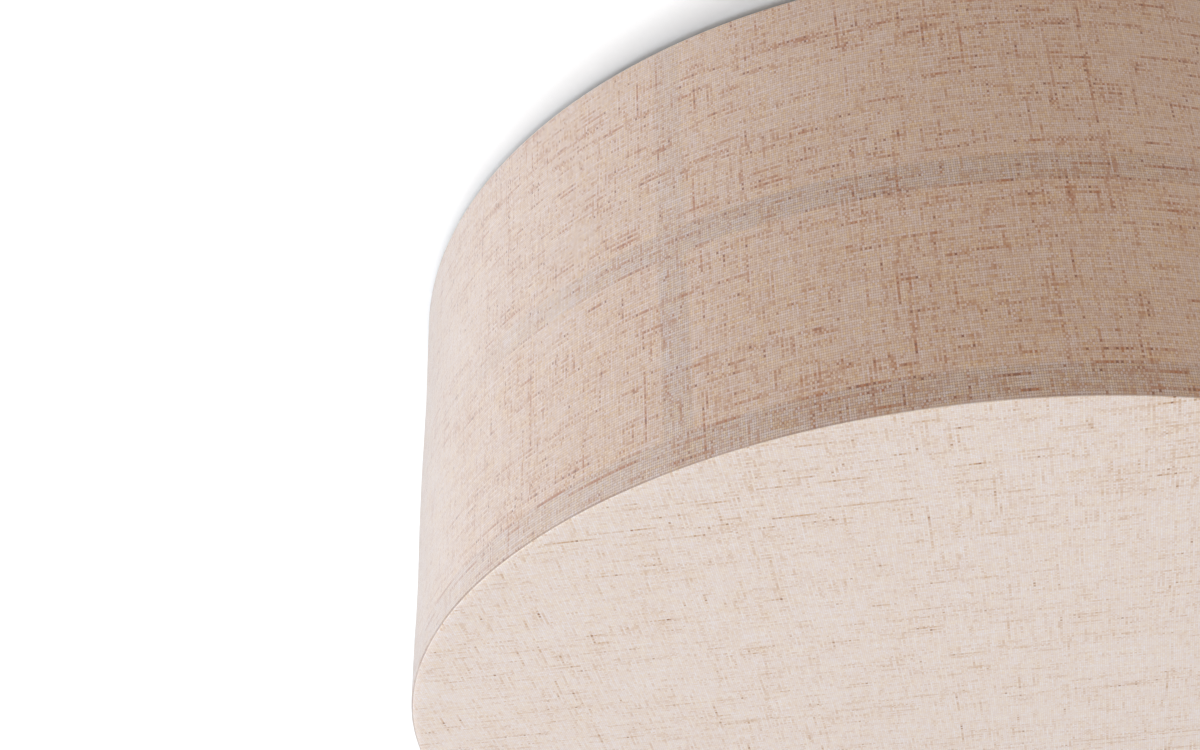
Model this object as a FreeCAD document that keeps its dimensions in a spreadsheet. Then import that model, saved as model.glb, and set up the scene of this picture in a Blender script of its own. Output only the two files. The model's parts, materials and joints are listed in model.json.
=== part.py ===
import FreeCAD, Part
import math
import os
import Sketcher

# Flush ceiling light: a cloth drum with a cloth-covered bottom, hung by a turn-and-lock ring on a flat pan
# that carries three level screw lamps. Millimetres, +Z up. The origin is the centre of the pan's ceiling
# face, on the drum's axis, so that everything lies below z = 0.

DRIVING_SIZES = {
    # drum
    "shade_radius": 200.0,
    "shade_height": 160.0,
    "ceiling_gap": 2.0,
    "cloth_thick": 0.6,
    "hem_depth": 12.0,
    "seam_width": 12.0,
    "seam_thick": 0.5,
    "strap_width": 10.0,
    "strap_thick": 1.2,
    "top_ring_height": 3.0,
    "upright_count": 6,
    "snip_clearance": 0.3,
    # covered bottom
    "diffuser_gap": 0.3,
    "diffuser_thick": 1.5,
    "diffuser_play": 0.2,
    "fold_depth": 6.0,
    "clip_width": 8.0,
    "clip_thick": 1.0,
    "clip_rise": 12.0,
    "clip_leg": 8.0,
    # turn-and-lock ring and its arms
    "fitter_play": 1.0,
    "fitter_width": 21.0,
    "fitter_thick": 1.5,
    "seat_gap": 0.2,
    "unlock_angle": 20.0,
    "notch_play": 2.0,
    "stop_drop": 4.0,
    "stop_thick": 1.5,
    "stop_length": 7.0,
    "stop_gap": 0.3,
    "arm_width": 10.0,
    "arm_thick": 1.5,
    "arm_overlap": 14.0,
    "arm_tab": 12.0,
    # pan
    "pan_radius": 130.0,
    "pan_depth": 20.0,
    "pan_thick": 1.0,
    "lug_width": 20.0,
    "lug_reach": 9.0,
    "lug_thick": 1.2,
    "lamp_count": 3,
    "slot_spacing": 180.0,
    "slot_width": 5.5,
    "slot_length": 14.0,
    "grommet_bore_radius": 5.0,
    "grommet_wall": 2.0,
    "grommet_lip": 2.5,
    "grommet_lip_thick": 2.0,
    "grommet_neck": 2.0,
    # terminal block and earth point
    "block_width": 30.0,
    "block_depth": 20.0,
    "block_height": 17.0,
    "block_place": 75.0,
    "pole_pitch": 10.0,
    "tube_radius": 2.5,
    "tube_bore_radius": 1.6,
    "tube_length": 16.0,
    "clamp_radius": 1.5,
    "clamp_place": 4.5,
    "screw_radius": 1.95,
    "screw_head_radius": 3.5,
    "screw_head_height": 2.2,
    "screw_setback": 0.2,
    "screw_play": 0.05,
    "earth_place_left": 50.0,
    "earth_place_front": 45.0,
    "tag_radius": 4.5,
    "tag_length": 14.0,
    "tag_width": 5.0,
    "tag_thick": 0.8,
    "washer_radius": 4.5,
    "washer_thick": 0.8,
    "earth_nut_flats": 7.0,
    "earth_nut_thick": 3.2,
    "stud_tail": 1.5,
    # lamp holders
    "lamp_drop": 62.0,
    "bracket_place": 26.0,
    "bracket_width": 25.0,
    "bracket_thick": 1.5,
    "bracket_foot": 24.0,
    "bracket_below": 13.0,
    "bracket_bend": 3.0,
    "bracket_screw_place": 38.0,
    "bracket_screw_spread": 14.0,
    "nipple_radius": 5.0,
    "nipple_bore_radius": 4.0,
    "nipple_inside": 5.0,
    "nipple_outside": 8.0,
    "nut_flats": 14.0,
    "nut_thick": 3.0,
    "holder_radius": 19.5,
    "holder_wall": 2.0,
    "holder_shoulder": 9.0,
    "cap_length": 22.5,
    "skirt_length": 32.5,
    "bead_height": 1.0,
    "bead_length": 4.5,
    "insert_play": 0.3,
    "insert_back": 4.0,
    "insert_base": 6.0,
    "insert_wall": 2.4,
    "insert_setback": 3.0,
    "shell_thick": 0.6,
    "shell_seat": 0.4,
    "shell_gap": 2.5,
    "contact_radius": 3.0,
    "contact_height": 2.0,
    # screw lamps
    "thread_play": 0.6,
    "base_radius": 13.2,
    "base_thick": 0.5,
    "base_length": 23.0,
    "base_start": 4.0,
    "tip_radius": 4.5,
    "tip_height": 1.5,
    "tip_play": 0.05,
    "insulator_radius": 11.0,
    "bulb_length": 104.0,
    "globe_radius": 30.0,
    "globe_thick": 1.2,
    "globe_joint": 13.0,
    "collar_wall": 1.5,
    "collar_curve": 60.0,
    # leads inside the pan
    "lead_radius": 1.1,
    "lead_spread": 1.5,
    "lead_level": 1.3,
    "lead_bend": 20.0,
    "drop_bend": 6.6,
    "drop_place": 11.0,
    "drop_step": 2.7,
}

LAMP_AZIMUTH = 90.0     # the first lamp and the first lug point to the back, along +Y
ARM_AZIMUTH = 270.0     # the first upright and the first arm stand at the front, along -Y
LEFT, RIGHT = 1, -1     # the side of its way to which an arc of an outline bulges

# Heights, from the ceiling face down
SHADE_TOP = "(-ceiling_gap)"
SHADE_BOTTOM = "(-ceiling_gap - shade_height)"
FRAME_TOP = f"({SHADE_TOP} - cloth_thick)"
FRAME_BOTTOM = f"({SHADE_BOTTOM} + cloth_thick)"
SHADE_MIDDLE = f"({SHADE_TOP} - shade_height / 2)"
HOOP_TOP = f"({FRAME_BOTTOM} + strap_width)"
LUG_TOP = "(-pan_depth + lug_thick)"
FITTER_BOTTOM = f"({LUG_TOP} + seat_gap)"
FITTER_TOP = f"({FITTER_BOTTOM} + fitter_thick)"
PAN_UNDERSIDE = "(-pan_thick)"
BLOCK_BOTTOM = "(-pan_thick - block_height)"
POLE_LEVEL = "(-pan_thick - block_height / 2)"
TAG_UNDERSIDE = "(-pan_thick - tag_thick)"

# Distances from the drum's axis
FRAME_OUTSIDE = "(shade_radius - cloth_thick)"
FRAME_INSIDE = f"({FRAME_OUTSIDE} - strap_thick)"
UPRIGHT_INSIDE = f"({FRAME_INSIDE} - strap_thick)"
HEM_INSIDE = f"({FRAME_INSIDE} - cloth_thick)"
DIFFUSER_EDGE = f"({UPRIGHT_INSIDE} - diffuser_gap)"
HOOP_OUTSIDE = f"({DIFFUSER_EDGE} - cloth_thick)"
HOOP_INSIDE = f"({HOOP_OUTSIDE} - strap_thick)"
FOLD_INSIDE = f"({HOOP_INSIDE} - cloth_thick)"
FITTER_INSIDE = "(pan_radius + fitter_play)"
FITTER_OUTSIDE = f"({FITTER_INSIDE} + fitter_width)"

# Places along a lamp's level axis, from the drum's axis outwards
HOLDER_BACK = "(bracket_place + bracket_thick)"
CAP_FRONT = f"({HOLDER_BACK} + cap_length)"
HOLDER_FRONT = f"({CAP_FRONT} + skirt_length)"
INSERT_BACK = f"({CAP_FRONT} - insert_back)"
INSERT_FLOOR = f"({INSERT_BACK} + insert_base)"
LAMP_TIP = f"({INSERT_FLOOR} + contact_height)"
BASE_START = f"({LAMP_TIP} + base_start)"
BASE_END = f"({BASE_START} + base_length)"
GLOBE_CENTRE = f"({LAMP_TIP} + bulb_length - globe_radius)"
GLOBE_JOINT = f"({GLOBE_CENTRE} - globe_joint)"

# Radii about a lamp's axis
HOLDER_BORE = "(holder_radius - holder_wall)"
INSERT_OUTSIDE = f"({HOLDER_BORE} - insert_play)"
INSERT_INSIDE = f"({INSERT_OUTSIDE} - insert_wall)"
SHELL_INSIDE = "(base_radius + thread_play)"
SHELL_OUTSIDE = f"({SHELL_INSIDE} + shell_thick)"

document = FreeCAD.newDocument("ceiling_light")
sheet = document.addObject("Spreadsheet::Sheet", "Sizes")
for row, (alias, value) in enumerate(DRIVING_SIZES.items(), start=1):
    sheet.set(f"A{row}", alias)
    sheet.set(f"B{row}", str(value))
    sheet.setAlias(f"B{row}", alias)
document.recompute()
sub_parts = []


# ---------------------------------------------------------------- helpers

def size(expression):
    """The present value of an expression of the driving sizes."""
    return float(sheet.evalExpression(expression))


def bound(expression):
    """The expression with each driving size named in the sheet, as an object's property takes it."""
    words = []
    word = ""
    for letter in expression + " ":
        if letter.isalnum() or letter == "_":
            word += letter
            continue
        words.append(f"{sheet.Name}.{word}" if word in DRIVING_SIZES else word)
        words.append(letter)
        word = ""
    return "".join(words).strip()


def origin_feature(body, role):
    return next(feature for feature in body.Origin.OriginFeatures if feature.Role == role)


def new_body(label, azimuth="0", height="0"):
    """An empty body with its own label, turned about the drum's axis and raised to a height."""
    body = document.addObject("PartDesign::Body", label)
    body.Label = label
    turn = FreeCAD.Rotation(FreeCAD.Vector(0, 0, 1), size(azimuth))
    body.Placement = FreeCAD.Placement(FreeCAD.Vector(0, 0, size(height)), turn)
    body.setExpression("Placement.Rotation.Angle", bound(azimuth))
    body.setExpression("Placement.Base.z", bound(height))
    sub_parts.append(body)
    return body


def new_sketch(body, role, across="0", up="0", level="0", turn="0"):
    """A sketch on one of the body's own planes, moved by expressions in the sketch's own axes."""
    sketch = body.newObject("Sketcher::SketchObject", body.Label + "_sketch")
    sketch.AttachmentSupport = [(origin_feature(body, role), "")]
    sketch.MapMode = "FlatFace"
    rotation = FreeCAD.Rotation(FreeCAD.Vector(0, 0, 1), size(turn))
    place = FreeCAD.Vector(size(across), size(up), size(level))
    sketch.AttachmentOffset = FreeCAD.Placement(place, rotation)
    for axis, expression in (("x", across), ("y", up), ("z", level)):
        sketch.setExpression(f"AttachmentOffset.Base.{axis}", bound(expression))
    sketch.setExpression("AttachmentOffset.Rotation.Angle", bound(turn))
    return sketch


def hold_point(sketch, edge, position, across, up):
    """Ties a point of an edge to two expressions, measured from the sketch's origin."""
    for kind, expression in (("DistanceX", across), ("DistanceY", up)):
        constraint = Sketcher.Constraint(kind, -1, 1, edge, position, size(expression))
        index = sketch.addConstraint(constraint)
        sketch.setExpression(f"Constraints[{index}]", bound(expression))


def hold_radius(sketch, edge, expression):
    index = sketch.addConstraint(Sketcher.Constraint("Radius", edge, size(expression)))
    sketch.setExpression(f"Constraints[{index}]", bound(expression))


def add_arc(sketch, start, end, radius, side):
    """An arc of less than a half circle; gives its edge and which of its ends is start and which is end."""
    chord = end - start
    rise = math.sqrt(max(radius ** 2 - (chord.Length / 2) ** 2, 0))
    left = FreeCAD.Vector(-chord.y, chord.x, 0).normalize()
    centre = (start + end) * 0.5 - left * (rise * side)
    first, last = (end, start) if side == LEFT else (start, end)
    angles = [math.atan2(point.y - centre.y, point.x - centre.x) for point in (first, last)]
    if angles[1] < angles[0]:
        angles[1] += 2 * math.pi
    circle = Part.Circle(centre, FreeCAD.Vector(0, 0, 1), radius)
    edge = sketch.addGeometry(Part.ArcOfCircle(circle, angles[0], angles[1]), False)
    return (edge, 2, 1) if side == LEFT else (edge, 1, 2)


def add_outline(sketch, corners):
    """A closed outline. A corner is (across, up), or (across, up, radius, side) where an arc leaves it."""
    points = [FreeCAD.Vector(size(corner[0]), size(corner[1]), 0) for corner in corners]
    edges = []
    for index, corner in enumerate(corners):
        start, end = points[index], points[(index + 1) % len(points)]
        if len(corner) == 4:
            edges.append(add_arc(sketch, start, end, size(corner[2]), corner[3]))
        else:
            edges.append((sketch.addGeometry(Part.LineSegment(start, end), False), 1, 2))
    for index, corner in enumerate(corners):
        edge, first, last = edges[index]
        next_edge, next_first, next_last = edges[(index + 1) % len(edges)]
        sketch.addConstraint(Sketcher.Constraint("Coincident", edge, last, next_edge, next_first))
        hold_point(sketch, edge, first, corner[0], corner[1])
        if len(corner) == 4:
            hold_radius(sketch, edge, corner[2])


def add_circle(sketch, across, up, radius):
    centre = FreeCAD.Vector(size(across), size(up), 0)
    circle = Part.Circle(centre, FreeCAD.Vector(0, 0, 1), size(radius))
    edge = sketch.addGeometry(circle, False)
    hold_point(sketch, edge, 3, across, up)
    hold_radius(sketch, edge, radius)


def rectangle(left, right, low, high):
    return [(left, low), (right, low), (right, high), (left, high)]


def revolve(body, sketch, axis="V_Axis", angle="360", cut=False):
    """Turns a sketch about its own vertical or horizontal axis, evenly to both sides of its plane."""
    kind = "PartDesign::Groove" if cut else "PartDesign::Revolution"
    feature = body.newObject(kind, body.Label + "_turned")
    feature.Profile = sketch
    feature.ReferenceAxis = (sketch, [axis])
    feature.Midplane = True
    feature.setExpression("Angle", bound(angle))
    return feature


def pad(body, sketch, length, both_ways=False):
    """Raises a sketch along its normal, or evenly to both sides of its plane."""
    feature = body.newObject("PartDesign::Pad", body.Label + "_pad")
    feature.Profile = sketch
    feature.Midplane = both_ways
    feature.setExpression("Length", bound(length))
    return feature


def pocket_through(body, sketch):
    """Cuts a sketch through the whole body, to both sides of its plane."""
    feature = body.newObject("PartDesign::Pocket", body.Label + "_pocket")
    feature.Profile = sketch
    feature.Type = 1
    feature.Midplane = True
    return feature


def pocket_up(body, sketch, depth):
    """Cuts a sketch along its normal, to a depth."""
    feature = body.newObject("PartDesign::Pocket", body.Label + "_pocket")
    feature.Profile = sketch
    feature.Reversed = True
    feature.setExpression("Length", bound(depth))
    return feature


def repeat_around(body, features, count):
    """Repeats features evenly about the drum's axis."""
    pattern = body.newObject("PartDesign::PolarPattern", body.Label + "_pattern")
    pattern.Originals = features
    pattern.Axis = (origin_feature(body, "Z_Axis"), [""])
    pattern.Angle = 360
    pattern.setExpression("Occurrences", bound(count))
    body.Tip = pattern
    return pattern


def ring(label, inside, outside, low, high):
    """A plain ring about the drum's axis."""
    body = new_body(label)
    sketch = new_sketch(body, "XZ_Plane")
    add_outline(sketch, rectangle(inside, outside, low, high))
    revolve(body, sketch)
    return body


def lamp_turned(label, azimuth, corners):
    """A piece turned about a lamp's level axis. A corner's first value runs outwards from the drum's axis."""
    body = new_body(label, azimuth, "-lamp_drop")
    sketch = new_sketch(body, "XZ_Plane")
    add_outline(sketch, corners)
    revolve(body, sketch, "H_Axis")
    return body


def lamp_azimuth(number):
    return f"{LAMP_AZIMUTH} + 360 / lamp_count * {number - 1}"


# ---------------------------------------------------------------- drum

def shade_cloth():
    """The cloth sleeve: hems turned over the end rings, snipped at the uprights, and a lapped back seam."""
    body = new_body("shade_cloth", "90")
    sleeve = new_sketch(body, "XZ_Plane")
    add_outline(sleeve, [
        ("shade_radius", SHADE_TOP),
        ("shade_radius", SHADE_BOTTOM),
        (HEM_INSIDE, SHADE_BOTTOM),
        (HEM_INSIDE, f"{SHADE_BOTTOM} + hem_depth"),
        (FRAME_INSIDE, f"{SHADE_BOTTOM} + hem_depth"),
        (FRAME_INSIDE, FRAME_BOTTOM),
        (FRAME_OUTSIDE, FRAME_BOTTOM),
        (FRAME_OUTSIDE, FRAME_TOP),
        (FRAME_INSIDE, FRAME_TOP),
        (FRAME_INSIDE, f"{SHADE_TOP} - hem_depth"),
        (HEM_INSIDE, f"{SHADE_TOP} - hem_depth"),
        (HEM_INSIDE, SHADE_TOP),
    ])
    revolve(body, sleeve)
    seam = new_sketch(body, "XZ_Plane")
    seam_root = "shade_radius - cloth_thick / 2"
    add_outline(seam, rectangle(seam_root, "shade_radius + seam_thick", SHADE_BOTTOM, SHADE_TOP))
    revolve(body, seam, angle="seam_width / shade_radius * 180 / pi")
    snip = new_sketch(body, "XZ_Plane")
    add_outline(snip, rectangle(UPRIGHT_INSIDE, FRAME_INSIDE, FRAME_BOTTOM, FRAME_TOP))
    snip_angle = f"(strap_width + 2 * snip_clearance) / {UPRIGHT_INSIDE} * 180 / pi"
    repeat_around(body, [revolve(body, snip, angle=snip_angle, cut=True)], "upright_count")


def shade_frame():
    """Flat strap rings at the bottom and at mid height, a low top ring, and the uprights inside them."""
    ring("top_ring", FRAME_INSIDE, FRAME_OUTSIDE, f"{FRAME_TOP} - top_ring_height", FRAME_TOP)
    half_strap = "strap_width / 2"
    ring("middle_ring", FRAME_INSIDE, FRAME_OUTSIDE,
         f"{SHADE_MIDDLE} - {half_strap}", f"{SHADE_MIDDLE} + {half_strap}")
    ring("bottom_ring", FRAME_INSIDE, FRAME_OUTSIDE, FRAME_BOTTOM, f"{FRAME_BOTTOM} + strap_width")
    body = new_body("uprights", str(ARM_AZIMUTH))
    strap = new_sketch(body, "XZ_Plane")
    add_outline(strap, rectangle(UPRIGHT_INSIDE, FRAME_INSIDE, FRAME_BOTTOM, FRAME_TOP))
    upright = revolve(body, strap, angle=f"strap_width / {FRAME_INSIDE} * 180 / pi")
    repeat_around(body, [upright], "upright_count")


def fitter_ring():
    """The ring that hangs on the pan's lugs: a notch and two bent-down stops at each lug."""
    body = new_body("fitter_ring", f"{LAMP_AZIMUTH} + unlock_angle")
    plate = new_sketch(body, "XZ_Plane")
    add_outline(plate, rectangle(FITTER_INSIDE, FITTER_OUTSIDE, FITTER_BOTTOM, FITTER_TOP))
    revolve(body, plate)
    notch = new_sketch(body, "XY_Plane")
    half_notch = "lug_width / 2 + notch_play"
    notch_end = f"{FITTER_INSIDE} + lug_reach"
    add_outline(notch, rectangle(f"{FITTER_INSIDE} - lug_reach", notch_end,
                                 f"-({half_notch})", half_notch))
    repeat_around(body, [pocket_through(body, notch)], "lamp_count")
    stop_start = f"{FITTER_INSIDE} + fitter_play"
    stop_low = f"{FITTER_BOTTOM} - stop_drop"
    stop_height = "stop_drop + fitter_thick"
    open_stop = new_sketch(body, "XY_Plane", level=stop_low)
    add_outline(open_stop, rectangle(stop_start, f"{stop_start} + stop_length",
                                     half_notch, f"{half_notch} + stop_thick"))
    lock_stop = new_sketch(body, "XY_Plane", level=stop_low, turn="-unlock_angle")
    lock_face = "lug_width / 2 + stop_gap"
    add_outline(lock_stop, rectangle(stop_start, f"{stop_start} + stop_length",
                                     f"-({lock_face} + stop_thick)", f"-({lock_face})"))
    stops = [pad(body, open_stop, stop_height), pad(body, lock_stop, stop_height)]
    repeat_around(body, stops, "lamp_count")


def fitter_arms():
    """Bent straps from the top of the fitter ring to every second upright."""
    body = new_body("fitter_arms", str(ARM_AZIMUTH))
    side = new_sketch(body, "XZ_Plane")
    start = f"{FITTER_OUTSIDE} - arm_overlap"
    end = f"sqrt({UPRIGHT_INSIDE} ^ 2 - (arm_width / 2) ^ 2)"
    add_outline(side, [
        (start, FITTER_TOP),
        (f"{end} - arm_thick", FITTER_TOP),
        (f"{end} - arm_thick", f"{FITTER_TOP} - arm_tab"),
        (end, f"{FITTER_TOP} - arm_tab"),
        (end, f"{FITTER_TOP} + arm_thick"),
        (start, f"{FITTER_TOP} + arm_thick"),
    ])
    repeat_around(body, [pad(body, side, "arm_width", both_ways=True)], "lamp_count")


# ---------------------------------------------------------------- covered bottom

def diffuser():
    """A strap hoop with an opal sheet in it, under one cloth that is folded over the hoop."""
    ring("diffuser_hoop", HOOP_INSIDE, HOOP_OUTSIDE, FRAME_BOTTOM, HOOP_TOP)
    sheet_edge = f"{FOLD_INSIDE} - diffuser_play"
    ring("diffuser_sheet", "0", sheet_edge, FRAME_BOTTOM, f"{FRAME_BOTTOM} + diffuser_thick")
    body = new_body("diffuser_cloth")
    section = new_sketch(body, "XZ_Plane")
    add_outline(section, [
        ("0", SHADE_BOTTOM),
        (DIFFUSER_EDGE, SHADE_BOTTOM),
        (DIFFUSER_EDGE, f"{HOOP_TOP} + cloth_thick"),
        (FOLD_INSIDE, f"{HOOP_TOP} + cloth_thick"),
        (FOLD_INSIDE, f"{HOOP_TOP} - fold_depth"),
        (HOOP_INSIDE, f"{HOOP_TOP} - fold_depth"),
        (HOOP_INSIDE, HOOP_TOP),
        (HOOP_OUTSIDE, HOOP_TOP),
        (HOOP_OUTSIDE, FRAME_BOTTOM),
        ("0", FRAME_BOTTOM),
    ])
    revolve(body, section)


def diffuser_clips():
    """A bent strip on each upright that straddles the rim of the hoop."""
    body = new_body("diffuser_clips", str(ARM_AZIMUTH))
    side = new_sketch(body, "XZ_Plane")
    back = f"sqrt({UPRIGHT_INSIDE} ^ 2 - (clip_width / 2) ^ 2)"
    rim = f"{HOOP_TOP} + cloth_thick"
    leg_face = f"sqrt({FOLD_INSIDE} ^ 2 - (clip_width / 2) ^ 2)"
    add_outline(side, [
        (back, f"{rim} + clip_rise"),
        (f"{back} - clip_thick", f"{rim} + clip_rise"),
        (f"{back} - clip_thick", f"{rim} + clip_thick"),
        (f"{leg_face} - clip_thick", f"{rim} + clip_thick"),
        (f"{leg_face} - clip_thick", f"{rim} - clip_leg"),
        (leg_face, f"{rim} - clip_leg"),
        (leg_face, rim),
        (back, rim),
    ])
    repeat_around(body, [pad(body, side, "clip_width", both_ways=True)], "upright_count")


# ---------------------------------------------------------------- pan

def ceiling_pan():
    """A flat sheet pan with a down-turned rim, outward lugs, two screw slots and the fixing holes."""
    body = new_body("ceiling_pan")
    section = new_sketch(body, "XZ_Plane")
    grommet_seat = "grommet_bore_radius + grommet_wall"
    add_outline(section, [
        (grommet_seat, "0"),
        ("pan_radius", "0"),
        ("pan_radius", "-pan_depth"),
        ("pan_radius - pan_thick", "-pan_depth"),
        ("pan_radius - pan_thick", PAN_UNDERSIDE),
        (grommet_seat, PAN_UNDERSIDE),
    ])
    revolve(body, section)
    lug = new_sketch(body, "XY_Plane", level="-pan_depth", turn=str(LAMP_AZIMUTH))
    lug_root = "sqrt(pan_radius ^ 2 - (lug_width / 2) ^ 2) - pan_thick / 2"
    add_outline(lug, rectangle(lug_root, "pan_radius + lug_reach", "-lug_width / 2", "lug_width / 2"))
    repeat_around(body, [pad(body, lug, "lug_thick")], "lamp_count")
    slot_ends = new_sketch(body, "XY_Plane")
    slot_middles = new_sketch(body, "XY_Plane")
    end_reach = "(slot_length - slot_width) / 2"
    for place in ("-slot_spacing / 2", "slot_spacing / 2"):
        add_circle(slot_ends, f"{place} - {end_reach}", "0", "slot_width / 2")
        add_circle(slot_ends, f"{place} + {end_reach}", "0", "slot_width / 2")
        add_outline(slot_middles, rectangle(f"{place} - {end_reach}", f"{place} + {end_reach}",
                                            "-slot_width / 2", "slot_width / 2"))
    pocket_through(body, slot_ends)
    pocket_through(body, slot_middles)
    single_holes = new_sketch(body, "XY_Plane")
    add_circle(single_holes, "pole_pitch / 2", "-block_place", "clamp_radius + screw_play")
    add_circle(single_holes, "-earth_place_left", "-earth_place_front", "screw_radius + screw_play")
    pocket_through(body, single_holes)
    bracket_holes = new_sketch(body, "XY_Plane", turn=str(LAMP_AZIMUTH))
    for place in ("-bracket_screw_spread / 2", "bracket_screw_spread / 2"):
        add_circle(bracket_holes, "bracket_screw_place", place, "screw_radius + screw_play")
    repeat_around(body, [pocket_through(body, bracket_holes)], "lamp_count")


def cable_grommet():
    """The bush that lines the cable hole, flush with the ceiling face and lipped below the pan."""
    body = new_body("cable_grommet")
    section = new_sketch(body, "XZ_Plane")
    seat = "grommet_bore_radius + grommet_wall"
    lip_low = f"{PAN_UNDERSIDE} - grommet_lip_thick"
    add_outline(section, [
        ("grommet_bore_radius", "0"),
        (seat, "0"),
        (seat, PAN_UNDERSIDE),
        (f"{seat} + grommet_lip", PAN_UNDERSIDE),
        (f"{seat} + grommet_lip", lip_low),
        ("grommet_bore_radius + grommet_wall / 2", f"{lip_low} - grommet_neck"),
        ("grommet_bore_radius", f"{lip_low} - grommet_neck"),
    ])
    revolve(body, section)


def terminal_block():
    """A three-pole block: moulded body, brass tubes, two clamp screws a pole and one fixing screw."""
    poles = ("-pole_pitch", "0", "pole_pitch")
    clamps = ("-block_place - clamp_place", "-block_place + clamp_place")
    body = new_body("terminal_block")
    base = new_sketch(body, "XY_Plane", level=BLOCK_BOTTOM)
    add_outline(base, rectangle("-block_width / 2", "block_width / 2",
                                "-block_place - block_depth / 2", "-block_place + block_depth / 2"))
    pad(body, base, "block_height")
    tube_holes = new_sketch(body, "XZ_Plane")
    clamp_wells = new_sketch(body, "XY_Plane", level=BLOCK_BOTTOM)
    for pole in poles:
        add_circle(tube_holes, pole, POLE_LEVEL, "tube_radius")
        for clamp in clamps:
            add_circle(clamp_wells, pole, clamp, "tube_radius - screw_play")
    pocket_through(body, tube_holes)
    pocket_up(body, clamp_wells, "block_height / 2")
    fixing_hole = new_sketch(body, "XY_Plane")
    add_circle(fixing_hole, "pole_pitch / 2", "-block_place", "clamp_radius + screw_play")
    pocket_through(body, fixing_hole)

    tubes = new_body("terminal_tubes")
    tube_ends = new_sketch(tubes, "XZ_Plane", level="block_place")
    taps = new_sketch(tubes, "XY_Plane", level=BLOCK_BOTTOM)
    for pole in poles:
        add_circle(tube_ends, pole, POLE_LEVEL, "tube_radius")
        add_circle(tube_ends, pole, POLE_LEVEL, "tube_bore_radius")
        for clamp in clamps:
            add_circle(taps, pole, clamp, "clamp_radius + screw_play")
    pad(tubes, tube_ends, "tube_length", both_ways=True)
    pocket_up(tubes, taps, "block_height / 2")

    screws = new_body("terminal_screws")
    clamp_low = f"{POLE_LEVEL} - lead_radius - block_height / 3"
    shanks = new_sketch(screws, "XY_Plane", level=clamp_low)
    for pole in poles:
        for clamp in clamps:
            add_circle(shanks, pole, clamp, "clamp_radius")
    pad(screws, shanks, "block_height / 3")

    fixing = new_body("block_screw")
    shank = new_sketch(fixing, "XY_Plane", level=BLOCK_BOTTOM)
    add_circle(shank, "pole_pitch / 2", "-block_place", "clamp_radius")
    pad(fixing, shank, f"-({BLOCK_BOTTOM}) - screw_setback")
    head = new_sketch(fixing, "XY_Plane", level=f"{BLOCK_BOTTOM} - clamp_radius")
    add_circle(head, "pole_pitch / 2", "-block_place", "2 * clamp_radius")
    pad(fixing, head, "clamp_radius")


def earth_point():
    """A stud set into the pan, with the earth lead's ring tag held by a washer and a nut."""
    place = ("-earth_place_left", "-earth_place_front")
    washer_low = f"{TAG_UNDERSIDE} - washer_thick"
    nut_low = f"{washer_low} - earth_nut_thick"
    hole_radius = "screw_radius + screw_play"

    stud = new_body("earth_stud")
    stud_low = f"{nut_low} - stud_tail"
    shank = new_sketch(stud, "XY_Plane", level=stud_low)
    add_circle(shank, *place, "screw_radius")
    pad(stud, shank, f"-({stud_low}) - screw_setback")

    tag = new_body("earth_tag")
    tongue = new_sketch(tag, "XY_Plane", level=TAG_UNDERSIDE)
    root = f"{place[0]} + sqrt(tag_radius ^ 2 - (tag_width / 2) ^ 2)"
    tip = f"{place[0]} + tag_length"
    add_outline(tongue, rectangle(f"{root} - screw_play", tip,
                                  f"{place[1]} - tag_width / 2", f"{place[1]} + tag_width / 2"))
    pad(tag, tongue, "tag_thick")
    eye = new_sketch(tag, "XY_Plane", level=TAG_UNDERSIDE)
    add_circle(eye, *place, "tag_radius")
    add_circle(eye, *place, hole_radius)
    pad(tag, eye, "tag_thick")

    washer = new_body("earth_washer")
    disc = new_sketch(washer, "XY_Plane", level=washer_low)
    add_circle(disc, *place, "washer_radius")
    add_circle(disc, *place, hole_radius)
    pad(washer, disc, "washer_thick")

    nut = new_body("earth_nut")
    hexagon = new_sketch(nut, "XY_Plane", level=nut_low)
    add_outline(hexagon, hexagon_corners("earth_nut_flats", *place))
    add_circle(hexagon, *place, hole_radius)
    pad(nut, hexagon, "earth_nut_thick")


def hexagon_corners(flats, across="0", up="0"):
    """The corners of a hexagon with a point at the top, of a width over its flats."""
    point = f"{flats} / sqrt(3)"
    return [
        (f"{across}", f"{up} + {point}"),
        (f"{across} - {flats} / 2", f"{up} + {point} / 2"),
        (f"{across} - {flats} / 2", f"{up} - {point} / 2"),
        (f"{across}", f"{up} - {point}"),
        (f"{across} + {flats} / 2", f"{up} - {point} / 2"),
        (f"{across} + {flats} / 2", f"{up} + {point} / 2"),
    ]


# ---------------------------------------------------------------- lamp holders

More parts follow.
